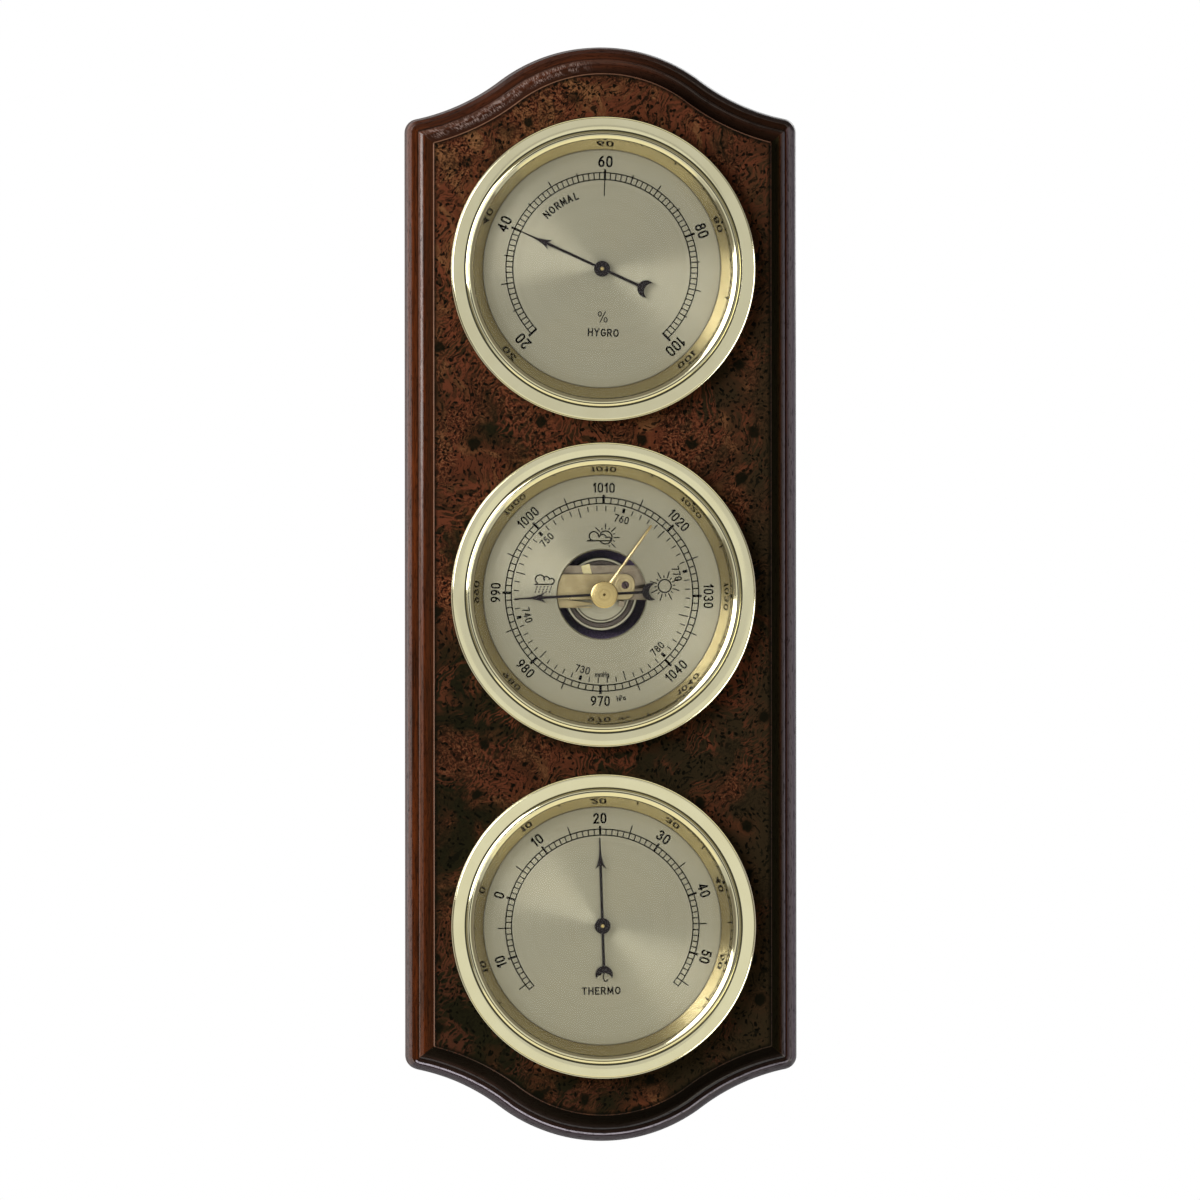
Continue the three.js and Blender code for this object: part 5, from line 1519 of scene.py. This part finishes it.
def weather_signs(dial):
    """Line drawings of sun, sun behind a cloud, and rain."""
    line = 0.38
    bold = 0.46
    sun = dial.spot(21.2, 2.8)
    hazy = dial.spot(1.2, 19.2)
    rainy = dial.spot(-19.6, 3.4)
    disc = 2.2
    ray = 2.75

    def drawn(centre, points, pen=bold):
        """Adds a pen line given from a sign's centre."""
        dial.stroke([(centre[0] + u, centre[1] + v) for u, v in points], pen)

    drawn(sun, bow(0, 0, disc, disc, 0, 360))
    dial.marks(8, 17.7, 45, ray, 5.2, line, sun)
    dial.marks(8, -5, 45, ray, 3.6, line, sun)

    drawn(hazy, bow(0, 0, disc, disc, 140, -18))
    drawn(hazy, bow(0, 0, disc, disc, 212, 326))
    dial.marks(5, -45, 45, ray, 4.8, line, hazy)
    dial.marks(5, -22.5, 45, ray, 3.5, line, hazy)
    drawn(hazy, bow(-3.95, 0.45, 1.6, 1.55, 255, -8))
    drawn(hazy, bow(-1.0, 0.0, 1.15, 1.05, 165, 0) + bow(1.0, -0.55, 0.75, 0.7, 95, 0))
    drawn(hazy, [(-6.2, -1.1), (1.9, -1.1)])

    drawn(rainy, bow(-1.42, 1.7, 1.5, 1.5, 235, -10))
    drawn(rainy, bow(0.75, 1.75, 0.95, 0.9, 165, 0) + bow(2.5, 1.05, 0.95, 0.95, 110, -80))
    drawn(rainy, [(-3.2, 0.0), (2.9, 0.0)])
    for i in range(5):
        for k in range(3):
            x, z = -2.3 + i * 1.2 - k * 0.3, -0.75 - k * 0.85
            drawn(rainy, [(x, z), (x - 0.12, z - 0.16)], 0.4)


def barometer_print(dial):
    """Scale in hectopascals outside, in millimetres of mercury inside it, and the weather signs."""
    inner, outer = 30.7, 32.7
    for radius in (inner, outer):
        dial.track(radius, 0, 360, 0.42)
    dial.marks(80, 0, 4.5, inner, outer, 0.4)
    dial.marks(8, 22.5, 45, inner, 34.8, 0.4)
    dial.marks(8, 0, 45, 30.6, 33.65, 0.86)
    labels = {45 * i: str(1010 + 10 * i) for i in range(-4, 4)}
    dial.numerals(labels, 3.4, 0.54, 36.0, True)
    first = 14.6 - dial.turn
    dial.marks(60, first, 6, 28.2, 29.9, 0.36)
    dial.marks(6, first + 30, 60, 26.8, 30.0, 0.38)
    dial.marks(6, first, 60, 28.4, 29.9, 1.0)
    labels = {first + 60 * i: str(760 + 10 * i) for i in range(-3, 3)}
    dial.numerals(labels, 2.6, 0.42, 26.2, True)
    dial.words("mmHg", 1.9, 0.3, swung([(0, 27.0)], 180, dial.axis)[0], 0, 0.1, 4.9)
    dial.words("hPa", 1.9, 0.3, swung([(0, 35.6)], 169.6, dial.axis)[0], -10.4, 0.1, 3.1)
    weather_signs(dial)


PRINTS = {"hygrometer": hygrometer_print, "barometer": barometer_print, "thermometer": thermometer_print}


def dial_print(name):
    """Everything printed on a dial, as one thin raised layer of ink."""
    dial = DialPrint(name)
    PRINTS[name](dial)
    piece = dial.solid.build(f"{name}_scale", FINISH["ink"], AXIS[name])
    fit(piece, "black", "station")


def capsule():
    """Vacuum capsule on its boss: broad rim, dark groove, inner ring, and the flat with its stud."""
    axis = AXIS["barometer"]
    floor, stud = depths("aneroid_capsule")
    boss_height = 1.4
    bellows_height = 4.2
    back = floor + boss_height
    front = back + bellows_height
    profile = [
        (0, floor), (3, floor), (3, back), (11.9, back), (12.3, back + 0.15), (12.4, back + 0.5),
        (12.4, front - 0.4), (12.33, front - 0.12), (12.15, front), (11.5, front), (11.36, front - 0.1),
        (11.3, front - 0.5, -0.6), (11.15, front - 0.75, -1.0), (10.0, front - 0.75, -1.0),
        (9.82, front - 0.5, -0.6), (9.74, front - 0.16), (9.6, front - 0.05), (9.1, front - 0.05),
        (8.9, front - 0.2), (8.75, front - 0.34, -0.3), (8.2, front - 0.36), (5.0, front - 0.3),
        (2.0, front - 0.3), (1.2, front - 0.36), (1.0, front - 0.3), (1.0, stud), (0, stud),
    ]
    piece = spun("capsule_bellows", profile, axis, "capsule_metal", CAPSULE_SIDES)
    fit(piece, "capsule_metal", "station", "aneroid_capsule")


def movement_bridge():
    """Brass bridge with a rounded end, a raised boss about the pivot and a bearing jewel hole."""
    axis = AXIS["barometer"]
    low, high = box("movement_bridge")
    back, front = depths("movement_bridge")
    pivot = middle("sector_pivot")
    foot = middle("bridge_post")
    outline = rounded_rectangle(low[0], high[0], low[2], high[2], 3.3, 12)
    bores = [(ARBOR_HOLE, axis), (ARBOR_HOLE, pivot), (1.15, foot)]
    holes = [circle(radius, HOLE_SIDES, centre) for radius, centre in bores]
    piece = plate([outline, *holes], back, front, 0.15).build("brass_bridge", FINISH["brass"])
    fit(piece, "brass", "station", "movement_bridge")
    rings = [(1.45, front - 0.02), (3.25, front - 0.02), (3.25, front + 0.03), (3.12, front + 0.07)]
    rings += [(2.9, front + 0.07), (2.8, front + 0.03), (2.3, front + 0.03), (2.2, front + 0.07)]
    rings += [(1.9, front + 0.07), (1.8, front + 0.03), (1.45, front + 0.03)]
    boss = spun("bridge_boss", rings, pivot, "brass", HUB_SIDES)
    fit(boss, "brass", "station")
    end, head = depths("sector_pivot")
    profile = [(0, end), (0.6, end), (0.6, front), (1.3, front), (1.3, head - 0.2), (1.15, head), (0, head)]
    screw = spun("pivot_screw", eased(profile, 0.05, False), pivot, "dark_steel", SMALL_SIDES)
    slotted(screw, pivot, 0.25, 2, head - 0.35, head + 1, 62)
    fit(screw, "steel", "station", "sector_pivot")


def small_movement_parts():
    """The remaining parts of the barometer's movement, with their edges broken."""
    parts = [
        ("frame_plate", "steel_frame_plate", "steel", "station", 0.12),
        ("frame_post_left", "left_frame_post", "brass", "station", 0.08),
        ("frame_post_right", "right_frame_post", "brass", "station", 0.08),
        ("bridge_post", "brass_bridge_post", "brass", "station", 0.08),
        ("toothed_sector", "brass_toothed_sector", "brass", "sector", 0.05),
        ("link_clamp", "steel_link_clamp", "steel", "sector", 0.1),
        ("compensating_arm", "split_brass_arm", "brass", "station", 0.1),
        ("hairspring_regulator", "regulator_tab", "pale_brass", "station", 0.1),
    ]
    for node, name, finish, body, edge in parts:
        slot = "brass" if finish == "pale_brass" else finish
        fit(softened(node, name, FINISH[finish], edge), slot, body, node)
    inner, strip = HAIRSPRING_INNER_RADIUS, HAIRSPRING_STRIP
    outer = inner + HAIRSPRING_TURNS * HAIRSPRING_PITCH + strip
    wound("hairspring", "dark_steel", "steel", AXIS["barometer"], HAIRSPRING_TURNS, strip, inner, outer)


def set_knob():
    """Turned knob on the glass: milled rim, shallow coned face, neck, and the shaft through the pane."""
    axis = AXIS["barometer"]
    back, front = depths("set_knob")
    neck_height = 2.6
    neck = depths("barometer_glass")[1] + FIT_GAP
    under = neck + neck_height
    profile = [
        (0, back), (1.4, back), (1.5, back + 0.1), (1.5, neck), (2.4, neck), (2.6, neck + 0.15),
        (2.6, under - 0.3), (2.9, under), (4.2, under), (4.45, under + 0.15),
        (KNOB_RIM_RADIUS, under + 0.4), (KNOB_RIM_RADIUS, front - 0.55), (4.52, front - 0.4),
        (4.3, front - 0.26), (4.2, front - 0.22), (2.2, front - 0.08),
        (0.5, front), (0.42, front - 0.1), (0, front - 0.3),
    ]
    waves = np.cos(np.arange(KNOB_SIDES) / KNOB_SIDES * KNOB_TEETH * 2 * math.pi)
    teeth = KNOB_TOOTH_DEPTH * (waves * 0.5 + 0.5)
    solid = Solid()
    rows = []
    for radius, depth in profile:
        outline = [axis]
        if radius > 0:
            reaches = radius - (teeth if radius == KNOB_RIM_RADIUS else 0 * teeth)
            ways = zip(circle(1.0, KNOB_SIDES), reaches)
            outline = [(axis[0] + u * r, axis[1] + v * r) for (u, v), r in ways]
        rows.append(solid.loop(outline, depth, -1.0 if radius < KNOB_DIMPLE_RADIUS else 0.0))
    solid.skin(rows)
    piece = solid.build("turned_set_knob", FINISH["turned_brass"], axis, TURNED_SHARP_ANGLE)
    fit(piece, "brass", "marker", "set_knob")


def marker_needle():
    """Marker hand with a roof-shaped blade and a domed hub on the knob's shaft."""
    axis = AXIS["barometer"]
    back, front = depths("marker_hand")
    solid = Solid()
    rows = []
    for x, depth in ((-0.6, back + 0.12), (0.0, front), (0.6, back + 0.12), (0.0, back)):
        rows.append(solid.loop(swung([(x, 1.8), (x * 0.58, 28.6)], MARKER_TURN, axis), depth))
    for one, other in zip(rows, rows[1:] + rows[:1]):
        solid.wall(one, other, False)
    for end in (0, 1):
        solid.faces.append(tuple(row[end] for row in rows))
    blade = solid.build("marker_needle", FINISH["brass"], axis, BLADE_SHARP_ANGLE)
    fit(blade, "brass", "marker", "marker_hand")
    profile = [(SHAFT_HOLE, back), (2.5, back), (2.6, back + 0.15)]
    profile += [(2.4, front - 0.08), (2.0, front), (SHAFT_HOLE, front)]
    hub = spun("marker_hub", profile, axis, "turned_brass", HUB_SIDES)
    fit(hub, "brass", "marker")


def instruments():
    """Everything that the three instruments have in common, and the two that work by a coil."""
    for name in DIALS:
        bezel_ring(name)
        mirror_ring(name)
        glass_pane(name)
        dial_plate(name)
        dial_print(name)
        spun_case(name)
        hand(name)
        adjusting_screw(name)
    coil_movement("hygrometer", "hygroscopic_coil", "hygro_foil", 5.0, 0.5)
    coil_movement("thermometer", "bimetal_coil", "steel", 4.5, 0.7)


def white_room():
    """White surroundings: bright where they are seen or mirrored, dim as a light."""
    world = bpy.data.worlds.new("white_studio")
    bpy.context.scene.world = world
    world.use_nodes = True
    g = Graph(world.node_tree)
    path = g.node("ShaderNodeLightPath", output="Is Camera Ray")
    mirrored = g.math("MAXIMUM", path.out("Is Glossy Ray"), path.out("Is Transmission Ray"))
    room = g.node("ShaderNodeBackground", inputs={"Color": (1, 1, 1, 1), "Strength": 0.17})
    white = g.node("ShaderNodeBackground", inputs={"Color": (1, 1, 1, 1), "Strength": 1.0})
    seen = g.math("MAXIMUM", path, mirrored)
    both = g.node("ShaderNodeMixShader", inputs={0: seen, 1: room, 2: white})
    g.node("ShaderNodeOutputWorld", inputs={0: both})


def level_sheet(half_width, height, near, far):
    """A level sheet between two depths."""
    solid = Solid()
    corners = solid.loop([(-half_width, height), (half_width, height)], near)
    corners += solid.loop([(half_width, height), (-half_width, height)], far)
    solid.faces.append(tuple(corners))
    return solid


def pale_floor():
    """A pale paper floor that is nearly white where it is seen or mirrored."""
    paper, g = new_finish("pale_floor")
    mottle = g.noise(g.place(), 0.02, 3)
    cover = g.blend(mottle, tint(232, 231, 228), tint(238, 237, 235))
    sheet = g.node("ShaderNodeBsdfPrincipled", inputs={"Base Color": cover, "Roughness": 0.8})
    path = g.node("ShaderNodeLightPath", output="Is Camera Ray")
    seen = g.math("MAXIMUM", path, path.out("Is Glossy Ray")) * 0.7
    glow = g.node("ShaderNodeEmission", inputs={"Color": (1, 1, 1, 1), "Strength": 0.95})
    floor = g.node("ShaderNodeMixShader", inputs={0: seen, 1: sheet, 2: glow})
    g.node("ShaderNodeOutputMaterial", inputs={"Surface": floor})
    solid = level_sheet(FLOOR_REACH, FLOOR_HEIGHT, -FLOOR_REACH, FLOOR_REACH)
    solid.build("studio_floor", paper)


def studio():
    """White surroundings, a pale floor, and soft light from the upper left."""
    white_room()
    pale_floor()
    softbox("key_light", (-0.55, -0.6, 0.11), (0.0, -0.02, -0.14), 0.54, 8.7)
    softbox("rim_light", (0.6, 0.9, 0.3), (0.0, 0.0, -0.17), 0.8, 5.0)
    cloths()


def cloths():
    """Cloths and cards round the set, seen only in reflections."""
    rim = circle(CLOTH_RADIUS, CLOTH_SIDES, CLOTH_MIDDLE)
    dim = Solid()
    dim.wall(dim.loop(rim, CLOTH_FRONT), dim.loop(rim, CLOTH_SEAM))
    lit = Solid()
    lit.wall(lit.loop(rim, CLOTH_SEAM), lit.loop(rim, CLOTH_BACK))
    front = Solid()
    corners = [(-500, -190), (500, -190), (500, -800), (-500, -800)]
    front.faces.append(tuple(front.loop(corners, CLOTH_FRONT)))
    low = level_sheet(450, LOW_CARD_HEIGHT, 130, 660)
    glow_card("dim_cloth", dim, 1.0, (0.34, 0.31, 0.27, 1))
    glow_card("lit_cloth", lit, 3.0)
    glow_card("front_card", front, 1.25, (1.0, 1.0, 0.96, 1))
    glow_card("low_card", low, 1.5, (1.0, 0.94, 0.74, 1))


def side_glow(g):
    """Glow of the cloth round the sides: bright at the left, lilac at the right and below, dark on top."""
    x, _, z = g.split(g.place())
    glow = g.blend(g.fade(x - z, 500.0, 1000.0), (0.02, 0.02, 0.02, 1), (0.3, 0.26, 0.3, 1))
    return g.blend(g.fade(x, -300.0, -650.0), glow, (0.34, 0.31, 0.3, 1))


def glow_card(name, solid, strength, glow=None):
    """A sheet of cloth that only shows in reflections, with one glow or with the glow of the sides."""
    cloth, g = new_finish(name)
    weave = g.noise(g.place(), 0.3)
    g.shade(
        Base_Color=g.blend(weave, tint(10, 10, 10), tint(18, 18, 18)),
        Roughness=0.9,
        Emission_Color=glow or side_glow(g),
        Emission_Strength=strength,
    )
    screen = solid.build(name, cloth)
    for ray in ("camera", "diffuse", "transmission", "shadow"):
        setattr(screen, f"visible_{ray}", False)


def softbox(name, place, aim, size, power):
    """A square soft light aimed at a point, in metres and watts."""
    lamp = bpy.data.lights.new(name, "AREA")
    lamp.size = size
    lamp.energy = power
    stand = bpy.data.objects.new(name, lamp)
    stand.location = place
    stand.rotation_euler = (Vector(aim) - Vector(place)).to_track_quat("-Z", "Y").to_euler()
    bpy.context.scene.collection.objects.link(stand)


def camera():
    """A long lens a little to the left of the dials and just above them."""
    azimuth = math.radians(CAMERA_AZIMUTH)
    elevation = math.radians(CAMERA_ELEVATION)
    aside = Vector((math.cos(azimuth), math.sin(azimuth), 0))
    level = math.cos(elevation)
    away = Vector((math.sin(azimuth) * level, -math.cos(azimuth) * level, math.sin(elevation)))
    upward = away.cross(aside)
    _, bezel_front = depths("barometer_bezel")
    middle_dial = Vector((0, -bezel_front * MM, AXIS["barometer"][1] * MM))
    aim = middle_dial - aside * PICTURE_SHIFT[0] - upward * PICTURE_SHIFT[1]
    lens = bpy.data.cameras.new("photo_camera")
    lens.sensor_width = SENSOR_WIDTH
    lens.lens = SENSOR_WIDTH * CAMERA_DISTANCE / PICTURE_WIDTH
    lens.clip_start = 0.05
    lens.clip_end = 40.0
    eye = bpy.data.objects.new("photo_camera", lens)
    eye.location = aim + away * CAMERA_DISTANCE
    eye.rotation_mode = "QUATERNION"
    eye.rotation_quaternion = (-away).to_track_quat("-Z", "Y") @ Quaternion((0, 0, 1), CAMERA_ROLL)
    bpy.context.scene.collection.objects.link(eye)
    bpy.context.scene.camera = eye


camera()
moulded_board()
burl_field()
hanger()
instruments()
capsule()
movement_bridge()
small_movement_parts()
set_knob()
marker_needle()
studio()

bpy.context.scene.view_settings.view_transform = "Standard"
